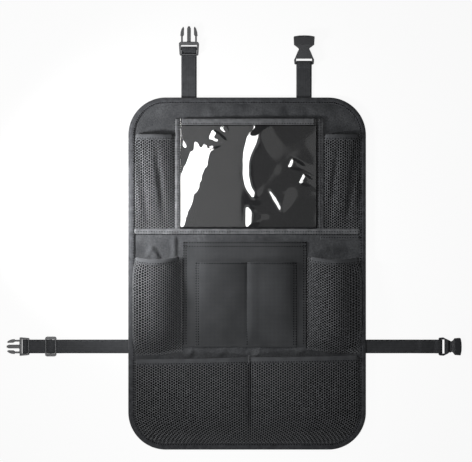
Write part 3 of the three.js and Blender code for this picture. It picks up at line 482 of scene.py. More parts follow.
def add_node(tree, kind, settings=None, links=()):
    """Adds a node with its settings; links pair its inputs with the sockets that feed them."""
    node = tree.nodes.new(kind)
    for key, value in (settings or {}).items():
        if hasattr(node, key):
            setattr(node, key, value)
        else:
            node.inputs[key].default_value = value
    for key, socket in links:
        tree.links.new(socket, node.inputs[key])
    return node


def new_material(name, settings):
    material = bpy.data.materials.new(name)
    material.use_nodes = True
    tree = material.node_tree
    shader = tree.nodes["Principled BSDF"]
    for key, value in settings.items():
        shader.inputs[key].default_value = value
    place = add_node(tree, "ShaderNodeTexCoord").outputs["Object"]
    return material, tree, shader, place


def tone(tree, value, dark, light):
    """Colour between a dark and a light shade by a pattern's value."""
    ramp = add_node(tree, "ShaderNodeMix", {"data_type": "RGBA"})
    ramp.inputs["A"].default_value = linear(dark)
    ramp.inputs["B"].default_value = linear(light)
    tree.links.new(value, ramp.inputs["Factor"])
    return ramp.outputs["Result"]


def combine(tree, operation, first, second):
    return add_node(tree, "ShaderNodeMath", {"operation": operation}, [(0, first), (1, second)]).outputs[0]


def mottle(tree, place, size, detail=3.0):
    """Noise whose blotches are about size millimetres across."""
    return add_node(tree, "ShaderNodeTexNoise", {"Scale": 1000 / size, "Detail": detail},
                    [("Vector", place)]).outputs["Fac"]


def ridges(tree, place, spacing, direction):
    """Parallel ridges at a spacing in millimetres; a wave of scale 1 repeats each 2 pi / 20 of a unit."""
    settings = {"wave_type": "BANDS", "bands_direction": direction, "Distortion": 0.4, "Detail": 1.0,
                "Scale": 1000 / spacing * 2 * math.pi / 20}
    return add_node(tree, "ShaderNodeTexWave", settings, [("Vector", place)]).outputs["Fac"]


def raised(tree, shader, height, distance):
    bump = add_node(tree, "ShaderNodeBump", {"Distance": distance * 0.001}, [("Height", height)])
    tree.links.new(bump.outputs["Normal"], shader.inputs["Normal"])


def pressed_polyester():
    """Pressed polyester felt: dull and slightly mottled, with painted shade that makes it darker where a net
    hangs over it.

    The felt's grain is drawn at 2.6 mm, coarser than its real fibres, so that the picture shows it.
    """
    settings = {"Roughness": 0.85, "Specular IOR Level": 0.15, "Sheen Weight": 0.1}
    material, tree, shader, place = new_material("pressed polyester cloth", settings)
    grain = mottle(tree, place, 2.6, 2.0)
    patches = combine(tree, "MULTIPLY", mottle(tree, place, 34), grain)
    # Painted shade: the felt's colour is mixed towards near black wherever a net lies over it, standing in
    # for the net's shadow
    painted_shade_mix = add_node(tree, "ShaderNodeMix", {"data_type": "RGBA"})
    painted_shade_mix.inputs["B"].default_value = linear("#111213")
    behind = add_node(tree, "ShaderNodeAttribute", {"attribute_name": "net_shade_mask"}).outputs["Fac"]
    tree.links.new(behind, painted_shade_mix.inputs["Factor"])
    tree.links.new(tone(tree, patches, "#212224", "#58595b"), painted_shade_mix.inputs["A"])
    tree.links.new(painted_shade_mix.outputs["Result"], shader.inputs["Base Color"])
    raised(tree, shader, grain, 0.5)
    return material


def oxford_polyester():
    """Oxford polyester: a plain weave of round threads, coarser here than the real 0.5 mm."""
    settings = {"Roughness": 0.75, "Specular IOR Level": 0.2, "Sheen Weight": 0.1}
    material, tree, shader, place = new_material("woven oxford polyester", settings)
    weave = combine(tree, "MAXIMUM", ridges(tree, place, 2.2, "X"), ridges(tree, place, 2.2, "Y"))
    patches = combine(tree, "MULTIPLY", mottle(tree, place, 40), weave)
    tree.links.new(tone(tree, patches, "#202122", "#3f4042"), shader.inputs["Base Color"])
    raised(tree, shader, weave, 0.12)
    return material


def knitted_yarn():
    """Warp knitted polyester net: round yarn, a little shiny; drawn coarser than the real 3 mm mesh."""
    material, tree, shader, place = new_material("knitted net yarn", {"Roughness": 0.5})
    grain = mottle(tree, place, 6, 2.0)
    tree.links.new(tone(tree, grain, "#353638", "#58595b"), shader.inputs["Base Color"])
    raised(tree, shader, grain, 0.15)
    return material


def brushed_tape(name, dark, light, nap_size, nap_height):
    """Brushed polyester tape: soft, with a pale worn nap in patches, drawn coarser than its real fibres."""
    settings = {"Roughness": 0.8, "Specular IOR Level": 0.15, "Sheen Weight": 0.1}
    material, tree, shader, place = new_material(name, settings)
    nap = mottle(tree, place, nap_size, 4.0)
    tree.links.new(tone(tree, nap, dark, light), shader.inputs["Base Color"])
    raised(tree, shader, mottle(tree, place, 2.2, 2.0), nap_height)
    return material


def webbing_weave(along):
    """Polypropylene webbing: cords with a low twill across them, dull, a little uneven.

    Its cords are drawn 2.9 mm apart, coarser than the real 1.5 mm, so that the picture shows them.
    """
    settings = {"Roughness": 0.75, "Specular IOR Level": 0.2}
    material, tree, shader, place = new_material("woven webbing " + along.lower(), settings)
    across = "Y" if along == "X" else "X"
    weave = combine(tree, "MULTIPLY", ridges(tree, place, 2.9, across), ridges(tree, place, 2.1, along))
    uneven = combine(tree, "ADD", weave, mottle(tree, place, 5))
    tree.links.new(tone(tree, uneven, "#232426", "#3c3d3f"), shader.inputs["Base Color"])
    raised(tree, shader, weave, 0.12)
    return material


def clear_film():
    """Flexible PVC film: clear, a little smoky, with a hard gloss over its soft ripples."""
    settings = {"Base Color": linear("#161718"), "Roughness": 0.05, "IOR": 1.6, "Specular IOR Level": 1.0,
                "Coat Weight": 1.0, "Coat Roughness": 0.03, "Coat IOR": 1.6, "Alpha": 0.5}
    return new_material("clear flexible film", settings)[0]


def moulded_acetal():
    """Injection moulded acetal: near black, spark grain drawn coarser than the real, soft highlights."""
    material, tree, shader, place = new_material("moulded acetal", {"Roughness": 0.36})
    grain = mottle(tree, place, 1.6, 2.0)
    tree.links.new(tone(tree, grain, "#26272a", "#393a3c"), shader.inputs["Base Color"])
    raised(tree, shader, grain, 0.04)
    return material


def sewing_thread():
    """Twisted polyester sewing thread, near black and matt."""
    settings = {"Base Color": linear("#060607"), "Roughness": 0.9, "Specular IOR Level": 0.05}
    return new_material("sewing thread", settings)[0]


PANEL_CLOTH = pressed_polyester()
POCKET_CLOTH = oxford_polyester()
NET_YARN = knitted_yarn()
BINDING_CLOTH = brushed_tape("edge binding tape", "#131415", "#48494c", 7, 0.4)
TRIM_CLOTH = brushed_tape("window trim tape", "#202123", "#67686a", 7, 0.4)
HEM_CLOTH = brushed_tape("plain hem tape", "#2c2d2f", "#464749", 14, 0.15)
TOP_WEAVE = webbing_weave("Y")
SIDE_WEAVE = webbing_weave("X")
CLEAR_FILM = clear_film()
ACETAL = moulded_acetal()
THREAD = sewing_thread()


# The panel and its binding

def rounded_place(u, v, inset):
    """Point of the rounded panel for a point of a square, both from 0 to 1."""
    x = (u * 2 - 1) * (HALF_WIDTH - inset)
    y = (v * 2 - 1) * (HALF_HEIGHT - inset)
    radius = CORNER_RADIUS - inset
    a = (abs(x) - (HALF_WIDTH - CORNER_RADIUS)) / radius
    b = (abs(y) - (HALF_HEIGHT - CORNER_RADIUS)) / radius
    if a <= 0 or b <= 0:
        return x, y
    round_x = HALF_WIDTH - CORNER_RADIUS + radius * a * math.sqrt(1 - b * b / 2)
    round_y = HALF_HEIGHT - CORNER_RADIUS + radius * b * math.sqrt(1 - a * a / 2)
    return math.copysign(round_x, x), math.copysign(round_y, y)


# Foot, head, width, slope and back of the creases over the left bottle pocket, along the top, and
# in the strip between the document pocket and the bottom net
PANEL_WRINKLES = [
    ((-125, 16), (-125, 72), 8, 0.7, 0.3), ((-150, 16), (-168, 44), 12, 0.6, 0.4),
    ((-178, 20), (-160, 50), 8, 0.5, 0.6),
    ((-84, 250), (-60, 292), 16, 0.25, 1), ((40, 256), (56, 290), 14, 0.25, 1),
    ((118, 262), (96, 288), 10, 0.2, 1),
    ((-110, -148), (-94, -120), 12, 0.6, 0.5), ((-60, -142), (-34, -122), 9, 0.5, 0.5),
    ((10, -142), (22, -122), 8, 0.5, 0.5), ((70, -142), (96, -122), 10, 0.45, 0.5),
]


def panel_creases(x, y):
    """Packing crease down the panel's middle, and soft wrinkles where the cloth lies bare."""
    inset = inset_at(x, y)
    open_rows = band(y, WINDOW_TOP + 2, HALF_HEIGHT - BINDING_EDGE, 6)
    open_rows += band(y, OPEN_ROW_FOOT, ROW_TAPE_TOP - ROW_TAPE_WIDTH, 7)
    open_rows += 0.6 * band(y, bottom_mouth(x), DOCUMENT_FOOT + 1, 5)
    in_window = band(y, ROW_TAPE_TOP + 4, WINDOW_TOP - 6, 12) * band(x, WINDOW_LEFT, WINDOW_RIGHT, 14)
    from_crease = x - PACKING_CREASE
    crease = smooth((from_crease + 34) / 34) if from_crease < 0 else 1 - smooth(from_crease / 7)
    shade = 1.9 * crease * (in_window + 0.6 * open_rows)
    waves = 1.6 * ruffle(x, y, 26, 3) + 0.8 * ruffle(x * 1.6, y, 12, 11)
    waves += sum(wrinkle(x, y, *line) for line in PANEL_WRINKLES)
    return shade + max(waves, -0.2) * open_rows * smooth((inset - BINDING_EDGE) / 12)


def panel_point(u, v):
    x, y = rounded_place(u, v, TAPE + GAP)
    return x, y, panel_top(x, y) + panel_creases(x, y)


def net_shade_mask(x, y):
    """Whether a net pocket lies over this point of the panel: the mask of the cloth's painted shade."""
    if y > ROW_TAPE_TOP:
        return y < UPPER_MOUTH - HEM_WIDTH / 2 and (x < WINDOW_LEFT or x > WINDOW_RIGHT)
    if y < bottom_mouth(x) - BOTTOM_HEM_WIDTH / 2:
        return inset_at(x, y) > BINDING_EDGE
    mouth, foot = middle_lines(math.copysign(1, x))[1:]
    return foot(x) < y < mouth(x) - HEM_WIDTH / 2 and (x < DOCUMENT_LEFT or x > DOCUMENT_RIGHT)


def make_panel():
    piece = finish_piece(laid_grid(130, 190, panel_point), "panel_sheet", PANEL_CLOTH,
                         ["back_panel"])
    # Marks the points behind the nets, where the cloth's colour gets its painted shade
    painted_shade = piece.data.attributes.new("net_shade_mask", "FLOAT", "POINT")
    for vert, share in zip(piece.data.vertices, painted_shade.data):
        share.value = float(net_shade_mask(vert.co.x * 1000, vert.co.y * 1000))
    thicken(piece, PANEL_THICKNESS, -1)


def outline_place(share, inset):
    """Point at a share of the way round the rounded outline, at an inset."""
    across = 2 * (HALF_WIDTH - CORNER_RADIUS)
    up = 2 * (HALF_HEIGHT - CORNER_RADIUS)
    arc = math.pi / 2 * CORNER_RADIUS
    radius = CORNER_RADIUS - inset
    run = share * (2 * across + 2 * up + 4 * arc)
    x, y, heading = HALF_WIDTH - inset, -up / 2, 90
    for side_x, side_y, straight in ((1, 1, up), (-1, 1, across), (-1, -1, up), (1, -1, across)):
        turn = math.radians(heading)
        if run <= straight:
            return x + run * math.cos(turn), y + run * math.sin(turn)
        run -= straight
        centre_x, centre_y = side_x * across / 2, side_y * up / 2
        start = turn - math.pi / 2
        if run <= arc:
            angle = start + run / CORNER_RADIUS
            return centre_x + radius * math.cos(angle), centre_y + radius * math.sin(angle)
        run -= arc
        x, y = centre_x + radius * math.cos(turn), centre_y + radius * math.sin(turn)
        heading += 90
    return x, y


def binding_section(v):
    """Inset and height along the tape's fold: back leg, round edge, front leg with a sewn groove."""
    low = WEBBING + GAP + TAPE / 2
    high = BINDING_TOP - TAPE / 2
    radius = (high - low) / 2
    straight = BINDING_WIDTH - radius
    run = v * (2 * straight + math.pi * radius)
    if run < straight:
        return BINDING_WIDTH - run, low
    back = run - straight - math.pi * radius
    if back > 0:
        crown = BINDING_CROWN * math.sin(math.pi * back / straight)
        groove = BINDING_GROOVE * band(back, straight - 4.2, straight - 1.4, 1.2)
        return radius + back, high + crown - groove
    angle = (run - straight) / radius
    return radius - radius * math.sin(angle), low + radius - radius * math.cos(angle)


def binding_point(u, v):
    inset, z = binding_section(v)
    x, y = outline_place(u % 1.0, inset)
    return x, y, z + 0.45 * ruffle(x, y, 11, 5) * smooth((v - 0.5) * 3)


def make_binding():
    """One fold of tape all round, whose ends meet, and its stitches near the inner edge."""
    mesh = laid_grid(700, 22, binding_point)
    bmesh.ops.remove_doubles(mesh, verts=mesh.verts[:], dist=1e-6)
    bmesh.ops.recalc_face_normals(mesh, faces=mesh.faces[:])
    piece = finish_piece(mesh, "binding_fold", BINDING_CLOTH, ["edge_binding"])
    thicken(piece, TAPE, 0)

    def stitch_line(t):
        x, y, z = binding_point(t, BINDING_STITCH_SHARE)
        return x, y, z + TAPE / 2

    sew("binding_stitches", [(stitch_line, BINDING_LENGTH)])


# Tapes laid flat over seams, and their stitches

def make_tape(name, nodes, corners, grooves, material):
    """Flat tape between two corners, crowned across its width, with a sewn groove at each share."""
    x0, x1, y0, y1 = corners
    lengthways = x1 - x0 > y1 - y0
    width, length = sorted((x1 - x0, y1 - y0))

    def point(u, v):
        x, y = mix(x0, x1, u), mix(y0, y1, v)
        across = v if lengthways else u
        half = TRIM_GROOVE_HALF
        dips = sum(band(across * width, g * width - half, g * width + half, 1.0) for g in grooves)
        crown = TRIM_CROWN * math.sin(math.pi * across) ** 0.7 + 0.3 * ruffle(x, y, 9, 7)
        return x, y, panel_top(x, y) + TRIM_LEVEL + max(crown - TRIM_GROOVE * dips, 0)

    counts = [max(round(abs(b - a) / 2), 14) for a, b in ((x0, x1), (y0, y1))]
    piece = finish_piece(laid_grid(*counts, point), name, material, nodes)
    thicken(piece, TAPE, 1)

    def path(groove):
        def stitch_line(t):
            x, y, z = point(t, groove) if lengthways else point(groove, t)
            return x, y, z + TAPE
        return stitch_line

    sew(name + "_stitches", [(path(groove), length) for groove in grooves])


def surface_normal(height, x, y):
    step = 0.5
    dx = (height(x + step, y) - height(x - step, y)) / (2 * step)
    dy = (height(x, y + step) - height(x, y - step)) / (2 * step)
    return Vector((-dx, -dy, 1)).normalized()


def hem_point(ends, mouth, width, height, thickness):
    """Tape folded over a mouth: leg behind, round fold, and a leg in front with a sewn groove."""
    radius = thickness / 2 + GAP + TAPE / 2
    total = 2 * width + math.pi * radius

    def point(u, v):
        x = mix(*ends, u)
        run = v * total
        if run < width:
            back, level = width - run, -radius
        elif run > total - width:
            back = run - (total - width)
            crown = HEM_CROWN * math.sin(math.pi * back / width)
            crown -= HEM_GROOVE * band(back, width - 3.4, width - 0.8, 1.1)
            level = radius + crown + 0.15 * ruffle(x, back, 10, 2)
        else:
            angle = (run - width) / radius
            back, level = -radius * math.sin(angle), -radius * math.cos(angle)
        y = mouth(x) - max(back, 0)
        normal = surface_normal(height, x, y)
        return Vector((x, y + max(-back, 0), height(x, y))) + normal * (thickness / 2 + level)

    return point


def make_hem(name, node, ends, mouth, width, height, thickness, material):
    point = hem_point(ends, mouth, width, height, thickness)
    columns = max(round((ends[1] - ends[0]) / 2.5), 10)
    piece = finish_piece(laid_grid(columns, 26, point), name, material, [node])
    thicken(piece, TAPE, 0)
    length = ends[1] - ends[0]
    share = 1 - HEM_STITCHES_IN / (2 * width + math.pi * (thickness / 2 + GAP + TAPE / 2))

    def stitch_line(t):
        return point(t, share) + Vector((0, 0, TAPE / 2))

    sew(name + "_stitches", [(stitch_line, length)])


# Net pockets

def even_columns(ends, height, y):
    """Gives x for a share from 0 to 1 of the way over a bulge, and the length of that way."""
    steps = 240
    xs = [mix(*ends, i / steps) for i in range(steps + 1)]
    runs = [0.0]
    for a, b in zip(xs, xs[1:]):
        runs.append(runs[-1] + math.hypot(b - a, height(b, y) - height(a, y)))

    def place(u):
        low, high = 0, steps
        while high - low > 1:
            half = (low + high) // 2
            if runs[half] <= u * runs[-1]:
                low = half
            else:
                high = half
        part = (u * runs[-1] - runs[low]) / max(runs[high] - runs[low], 1e-9)
        return mix(xs[low], xs[high], clamp(part))

    return place, runs[-1]


def make_net(name, node, ends, foot, mouth, height, overhang=0):
    """Net pocket whose columns are spread evenly over its bulge; a full one hangs out over the binding."""
    middle = sum(ends) / 2
    place, width = even_columns(ends, height, (foot(middle) + mouth(middle)) / 2)

    def point(u, v):
        x = place(u)
        y = mix(foot(x), mouth(x), v)
        z = height(x, y)
        near_rim = 1 - smooth((inset_at(x, y) - BINDING_EDGE) / 26)
        swell = math.sin(math.pi * clamp((z - panel_top(x, y)) / 24)) ** 0.7
        return x + math.copysign(overhang * swell * near_rim * smooth((1 - v) * 6), x), y, z

    length = mouth(middle) - foot(middle)
    piece = finish_piece(laid_net(width, length, point), name, NET_YARN, [node])
    thicken(piece, NET_YARN_DEPTH, NET_FRONT_SHARE)


def make_upper_pocket(name, side):
    height = upper_height(side)
    edge = (WINDOW_LEFT if side < 0 else WINDOW_RIGHT) + side * GAP
    trim = LEFT_TRIM_OUTSIDE if side < 0 else RIGHT_TRIM_OUTSIDE
    foot = ROW_TAPE_TOP + GAP - SEAM_ALLOWANCE
    ends = sorted((side * (HALF_WIDTH - SEAM_ALLOWANCE), edge))
    make_net(f"upper_{name}_net", f"upper_{name}_mesh", ends, lambda x: foot, lambda x: UPPER_MOUTH, height)
    ends = sorted((side * (HALF_WIDTH - RIM_FLAT), trim + side * (GAP + SEAM_ALLOWANCE)))
    make_hem(f"upper_{name}_binding", f"upper_{name}_hem", ends, lambda x: UPPER_MOUTH, HEM_WIDTH,
             height, NET, HEM_CLOTH)


def make_bottle_pocket(name, side):
    height = middle_height(side)
    edge, mouth, foot = middle_lines(side)
    ends = sorted((side * (HALF_WIDTH - SEAM_ALLOWANCE), edge))
    make_net(f"middle_{name}_net", f"middle_{name}_mesh", ends, lambda x: foot(x) - SEAM_ALLOWANCE,
             mouth, height, NET_OVERHANG)
    ends = sorted((side * (HALF_WIDTH - RIM_FLAT), edge + side * 2 * SEAM_ALLOWANCE))
    make_hem(f"middle_{name}_binding", f"middle_{name}_hem", ends, mouth, HEM_WIDTH,
             height, NET, HEM_CLOTH)


def make_side_pockets():
    for name, side in (("left", -1), ("right", 1)):
        make_upper_pocket(name, side)
        make_bottle_pocket(name, side)


def make_bottom():
    """The deep net pocket, its hem, the seam that divides it and the bar tack at the seam's head."""
    inset = SEAM_ALLOWANCE

    def point(u, v):
        x = (u * 2 - 1) * (HALF_WIDTH - inset)
        y = mix(inset - HALF_HEIGHT, bottom_mouth(x), v)
        x *= half_width_at(y, inset) / (HALF_WIDTH - inset)
        return x, y, bottom_height(x, y)

    width = 2 * (HALF_WIDTH - inset)
    length = BOTTOM_MOUTH + HALF_HEIGHT - inset
    piece = finish_piece(laid_net(width, length, point), "bottom_net", NET_YARN,
                         ["bottom_mesh"])
    thicken(piece, NET_YARN_DEPTH, NET_FRONT_SHARE)
    reach = HALF_WIDTH - RIM_FLAT
    make_hem("bottom_binding", "bottom_hem", (-reach, reach), bottom_mouth, BOTTOM_HEM_WIDTH,
             bottom_height, NET, HEM_CLOTH)

    head_x, head_y = 4.6, bottom_mouth(0) - 2
    foot_x, foot_y = 6.4, -205

    def seam(t):
        x, y = mix(head_x, foot_x, t), mix(head_y, foot_y, t)
        return x, y, bottom_height(x, y) + NET_YARN_DEPTH + 2.4 * (1 - smooth(t * 8))

    sew("bottom_seam_stitches", [(seam, 110)])

    def tack(across):
        def stitch_line(t):
            y = mix(BOTTOM_MOUTH - 8, BOTTOM_MOUTH + 5, t)
            return across, y, bottom_height(across, y) + 2.4
        return stitch_line

    sew("bottom_bar_tack", [(tack(x), TACK_STITCHING) for x in TACK_ROWS], TRIM_CLOTH)


# Tablet window

def make_window():
    left = WINDOW_LEFT + GAP
    right = WINDOW_RIGHT - GAP
    foot = ROW_TAPE_TOP + GAP - SEAM_ALLOWANCE

    def closer(t):
        """Lines lie closer together near the seams, where the film turns up sharply."""
        return mix(t, smooth(t), 0.85)

    def point(u, v):
        x, y = mix(left, right, closer(u)), mix(foot, WINDOW_TOP, closer(v))
        return x, y, film_height(x, y)

    piece = finish_piece(laid_grid(240, 180, point), "window_sheet", CLEAR_FILM,
                         ["window_film"])
    thicken(piece, FILM, 1)
    ends = (LEFT_TRIM_INSIDE + GAP + SEAM_ALLOWANCE, RIGHT_TRIM_INSIDE - GAP - SEAM_ALLOWANCE)
    make_hem("window_top_binding", "window_binding_top", ends, lambda x: WINDOW_TOP, WINDOW_TOP_BAND,
             film_height, FILM, TRIM_CLOTH)


def make_window_tapes():
    """Tapes down both sides of the window and across under it, the thin right strip, and their stitches."""
    top = WINDOW_TOP + GAP + TAPE
    low = ROW_TAPE_TOP + GAP
    make_tape("window_left_binding", ["window_binding_left"],
              (LEFT_TRIM_OUTSIDE, LEFT_TRIM_INSIDE, low, top), [0.72], TRIM_CLOTH)
    make_tape("window_right_binding", ["window_binding_right"],
              (RIGHT_TRIM_INSIDE, RIGHT_TRIM_OUTSIDE, low, top), [0.18, 0.6], TRIM_CLOTH)
    reach = HALF_WIDTH - BINDING_WIDTH - GAP - 0.1
    make_tape("row_tape", ["upper_row_tape"],
              (-reach, reach, ROW_TAPE_TOP - ROW_TAPE_WIDTH, ROW_TAPE_TOP), [0.4], TRIM_CLOTH)
    make_tape("right_strip", [], (WINDOW_RIGHT, reach, RIGHT_STRIP_FOOT, RIGHT_STRIP_TOP), [0.5],
              HEM_CLOTH)

    def film_line(start, end):
        def stitch_line(t):
            x, y = mix(start[0], end[0], t), mix(start[1], end[1], t)
            return x, y, film_height(x, y) + FILM
        return stitch_line, math.dist(start, end) * FILM_STITCH_DENSITY

    def left_line(t):
        x = LEFT_TRIM_OUTSIDE - 0.5
        return x, mix(low, top, t), panel_top(x, 200) + 2

    def row_line(t):
        x, y = mix(-reach, reach, t), ROW_TAPE_TOP - ROW_TAPE_WIDTH - 0.6
        return x, y, panel_top(x, y) + 1.6

    left = LEFT_TRIM_INSIDE + GAP + 0.9
    right = RIGHT_TRIM_INSIDE - GAP - 0.9
    foot = ROW_TAPE_TOP + 0.8
    head = WINDOW_TOP - WINDOW_TOP_BAND - 0.8
    corners = [(left, foot), (left, head), (right, head), (right, foot)]
    rows = [film_line(a, b) for a, b in zip(corners, corners[1:] + corners[:1])]
    rows += [(left_line, top - low), (row_line, 2 * reach)]
    sew("window_stitches", rows)


# Document pockets

def make_pockets():
    foot = DOCUMENT_FOOT - SEAM_ALLOWANCE

    def sheet_point(ends, mouth, height):
        def point(u, v):
            x, y = mix(*ends, u), mix(foot, mouth, v)
            hem = 0.5 * band(y, mouth - HEM_WIDTH, mouth + 2, 1.2) + 0.25 * ruffle(x, y, 35, 12)
            return x, y, height(x, y) + max(hem, 0)
        return point

    rear = sheet_point((DOCUMENT_LEFT, DOCUMENT_RIGHT), DOCUMENT_MOUTH, document_height)
    piece = finish_piece(laid_grid(130, 120, rear), "document_sheet", POCKET_CLOTH,
                         ["document_pocket"])
    thicken(piece, POCKET, 1)
    front = sheet_point((FRONT_LEFT, FRONT_RIGHT), FRONT_MOUTH, front_height)
    piece = finish_piece(laid_grid(150, 100, front), "front_sheet", POCKET_CLOTH,
                         ["front_pocket"])
    thicken(piece, POCKET, 1)

    def line(point, start, end, length):
        def stitch_line(t):
            x, y, z = point(mix(start[0], end[0], t), mix(start[1], end[1], t))
            return x, y, z + POCKET
        return stitch_line, length

    def sewn_rows(point, wide, tall, uprights, levels):
        """Rows up the sheet, each a distance in from its left side, and across it, down from its mouth."""
        shares = [distance / wide for distance in uprights]
        heads = [1 - distance / tall for distance in levels]
        return ([line(point, (u, 0.02), (u, 1), tall) for u in shares]
                + [line(point, (0, v), (1, v), wide) for v in heads])

    wide = DOCUMENT_RIGHT - DOCUMENT_LEFT
    rows = sewn_rows(rear, wide, DOCUMENT_MOUTH - foot, (1, 5, wide - 5, wide - 1), (2, 8))
    wide = FRONT_RIGHT - FRONT_LEFT
    rows += sewn_rows(front, wide, FRONT_MOUTH - foot, (1, 5, -FRONT_LEFT, wide - 5, wide - 1), (2,))
    sew("pocket_stitches", rows)


# Webbing

def strap_path(reach, rise_from, turned, tail, lead):
    """The strap's line: distance out from the panel's edge, and height."""
    start, end = turned
    top = RAISED + BAR_HEIGHT
    floor = WEBBING / 2
    level = floor + RAISED
    turn = GAP + WEBBING / 2
    over = top + turn
    return lead(floor, level) + [
        (reach + rise_from, level), (reach + start - 1, over), (reach + end, over),
        (reach + end + turn * 0.8, over - turn * 0.4), (reach + end + turn, top - turn * 0.3),
        (reach + end + turn, level - turn * 0.5), (reach + end + turn * 0.6, floor),
        (reach - tail, floor),
    ]


def plain_lead(reach, tail):
    return lambda floor, level: [(-STRAP_TUCK, floor), (reach - tail - 10, floor), (reach - tail - 3, level)]


def slider_lead(floor, level):
    middle = SLIDER_REACH + SLIDER_LENGTH / 2
    half = SLIDER_CENTRE_BAR / 2
    over = level + SLIDER_BAR_HEIGHT + GAP
    return [(-STRAP_TUCK, floor), (SLIDER_REACH - 14, floor), (SLIDER_REACH - 7, level),
            (SLIDER_REACH + SLIDER_END_BAR + 0.4, level), (middle - half - 0.8, over),
            (middle + half + 0.8, over), (SLIDER_REACH + SLIDER_LENGTH - SLIDER_END_BAR - 0.4, level)]


def strap_line(path, step):
    """Points along a path at close steps, with each corner kept."""
    points = [path[0]]
    for a, b in zip(path, path[1:]):
        count = max(round(math.dist(a, b) / step), 1)
        points += [(mix(a[0], b[0], i / count), mix(a[1], b[1], i / count)) for i in range(1, count + 1)]
    return points


def make_strap(name, node, path, width, place, material):
    line = strap_line(path, 3)
    columns = len(line) - 1

    def point(u, v):
        s, z = line[round(u * columns)]
        return place(s, (v - 0.5) * width) + (z,)

    piece = finish_piece(laid_grid(columns, 8, point), name, material, [node])
    thicken(piece, WEBBING * 0.96, 0)
    length = sum(math.dist(a, b) for a, b in zip(line, line[1:]))


def make_straps():
    female_bar = (0, FEMALE_BAR)
    short = LOOP_TAIL - 8
    make_strap("top_left_webbing", "top_left_strap",
               strap_path(TOP_LEFT_REACH, TOP_OUTER_BAR + 0.5, TOP_TURNED_BAR, LOOP_TAIL,
                          plain_lead(TOP_LEFT_REACH, LOOP_TAIL)),
               TOP_WEBBING, lambda s, w: (TOP_LEFT_CENTRE + w, HALF_HEIGHT + s), TOP_WEAVE)
    make_strap("top_right_webbing", "top_right_strap",
               strap_path(TOP_RIGHT_REACH, FEMALE_RISE, female_bar, short,
                          plain_lead(TOP_RIGHT_REACH, short)),
               TOP_WEBBING, lambda s, w: (TOP_RIGHT_CENTRE + w, HALF_HEIGHT + s), TOP_WEAVE)
    side_tail = LEFT_REACH - SLIDER_REACH - SLIDER_LENGTH / 2
    make_strap("left_side_webbing", "left_side_strap",
               strap_path(LEFT_REACH, SIDE_OUTER_BAR + 0.5, SIDE_TURNED_BAR, side_tail, slider_lead),
               SIDE_WEBBING, lambda s, w: (-HALF_WIDTH - s, SIDE_CENTRE + w), SIDE_WEAVE)
    make_strap("right_side_webbing", "right_side_strap",
               strap_path(RIGHT_REACH, FEMALE_RISE, female_bar, short, plain_lead(RIGHT_REACH, short)),
               SIDE_WEBBING, lambda s, w: (HALF_WIDTH + s, SIDE_CENTRE + w), SIDE_WEAVE)


def dress_buckles():
    """The moulded pieces keep their CAD shape and get their material."""
    for node in ("top_male_buckle", "top_female_buckle", "side_male_buckle", "side_female_buckle",
                 "side_slider"):
        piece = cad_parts[node]
        piece.data.materials.clear()
        piece.data.materials.append(ACETAL)


# Studio: how much of the floor is plain white to the camera, and the strength of the room's even fill

FLOOR_WHITENESS = 0.92
ROOM_FILL = 0.07


def make_camera():
    """Long lens straight above the picture's middle, at the height where a pixel spans its millimetres."""
    data = bpy.data.cameras.new("Camera")
    data.lens = 120
    data.sensor_width = 36
    data.clip_end = 20
    camera = bpy.data.objects.new("Camera", data)
    x = (PICTURE_WIDTH / 2 - MIDDLE_PIXEL_X) * PIXEL
    y = (MIDDLE_PIXEL_Y - PICTURE_HEIGHT / 2) * PIXEL
    camera.location = metres(x, y, PICTURE_WIDTH * PIXEL * data.lens / data.sensor_width)
    bpy.context.scene.collection.objects.link(camera)
    bpy.context.scene.camera = camera


def make_lamp(name, place, target, size, power, spread=180, mirrored=True):
    """Softbox, in metres and watts. A spread under 180 degrees is a honeycomb grid in front of it."""
    data = bpy.data.lights.new(name, "AREA")
    data.shape = "RECTANGLE"
    data.size, data.size_y = size
    data.energy = power
    data.spread = math.radians(spread)
    lamp = bpy.data.objects.new(name, data)
    lamp.visible_camera = False
    lamp.visible_glossy = mirrored
    lamp.location = place
    lamp.rotation_euler = (Vector(target) - Vector(place)).to_track_quat("-Z", "Y").to_euler()
    bpy.context.scene.collection.objects.link(lamp)


def hang_card(name, x, height, width, power, spread=180):
    """Level card hung high over the window, which the film mirrors."""
    make_lamp(name, (x, 0.17, height), (x, 0.17, 0), (width, 0.7), power, spread)


def light_studio():
    """Key from the near left and a low fill that the film doesn't mirror, and the cards that it does."""
    make_lamp("near left key", (-0.45, 0.1, 0.22), (-0.2, 0.12, 0), (0.09, 0.09), 2.0, 88, mirrored=False)
    hang_card("window softbox", -0.36, 1.3, 0.25, 2.25, 76)
    hang_card("left reflector card", -0.1175, 1.31, 0.235, 0.32)
    hang_card("right reflector card", 0.341, 1.31, 0.318, 0.19)
    hang_card("wide dim card", 0.27, 1.33, 0.46, 0.13)
    make_lamp("low fill", (-0.12, -0.5, 0.6), (0.02, -0.06, 0), (0.15, 0.15), 0.5, 80, mirrored=False)


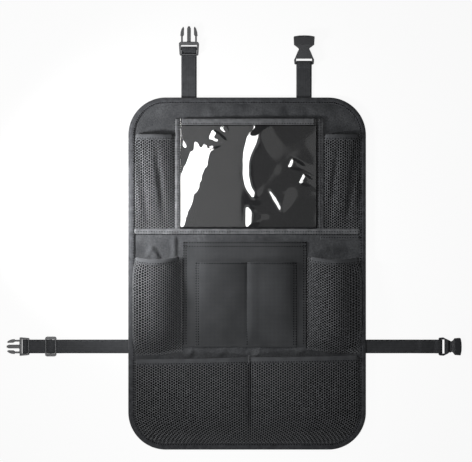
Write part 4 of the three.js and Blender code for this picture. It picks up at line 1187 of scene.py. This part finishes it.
def make_floor():
    """Pale sweep: nearly white to the eye, and it keeps a faint shadow."""
    material = bpy.data.materials.new("pale floor")
    material.use_nodes = True
    tree = material.node_tree
    tree.nodes.clear()
    paths = add_node(tree, "ShaderNodeLightPath")
    seen = combine(tree, "MAXIMUM", paths.outputs["Is Camera Ray"], paths.outputs["Is Transmission Ray"])
    part = add_node(tree, "ShaderNodeMath", {"operation": "MULTIPLY"}, [(0, seen)])
    part.inputs[1].default_value = FLOOR_WHITENESS
    matt = add_node(tree, "ShaderNodeBsdfDiffuse", {"Color": linear("#f0f0f0")})
    white = add_node(tree, "ShaderNodeEmission", {"Color": (1, 1, 1, 1), "Strength": 1.0})
    blend = add_node(tree, "ShaderNodeMixShader", {},
                     [(0, part.outputs[0]), (1, matt.outputs[0]), (2, white.outputs[0])])
    add_node(tree, "ShaderNodeOutputMaterial", {}, [("Surface", blend.outputs[0])])
    mesh = bmesh.new()
    bmesh.ops.create_grid(mesh, x_segments=1, y_segments=1, size=3)
    data = bpy.data.meshes.new("floor")
    mesh.to_mesh(data)
    mesh.free()
    data.materials.append(material)
    floor = bpy.data.objects.new("floor", data)
    floor.location.z = -0.0006
    bpy.context.scene.collection.objects.link(floor)


def make_world():
    """White to the camera, a dim even fill to everything else."""
    world = bpy.data.worlds.new("studio")
    bpy.context.scene.world = world
    world.use_nodes = True
    tree = world.node_tree
    tree.nodes.clear()
    paths = add_node(tree, "ShaderNodeLightPath")
    strength = add_node(tree, "ShaderNodeMath", {"operation": "MULTIPLY_ADD"},
                        [(0, paths.outputs["Is Camera Ray"])])
    strength.inputs[1].default_value = 1 - ROOM_FILL
    strength.inputs[2].default_value = ROOM_FILL
    sky = add_node(tree, "ShaderNodeBackground", {"Color": (1, 1, 1, 1)},
                   [("Strength", strength.outputs[0])])
    add_node(tree, "ShaderNodeOutputWorld", {}, [("Surface", sky.outputs[0])])


make_camera()
make_panel()
make_binding()
make_window()
make_window_tapes()
make_side_pockets()
make_bottom()
make_pockets()
make_straps()
dress_buckles()
make_floor()
make_world()
light_studio()
bpy.context.scene.view_settings.view_transform = "Standard"
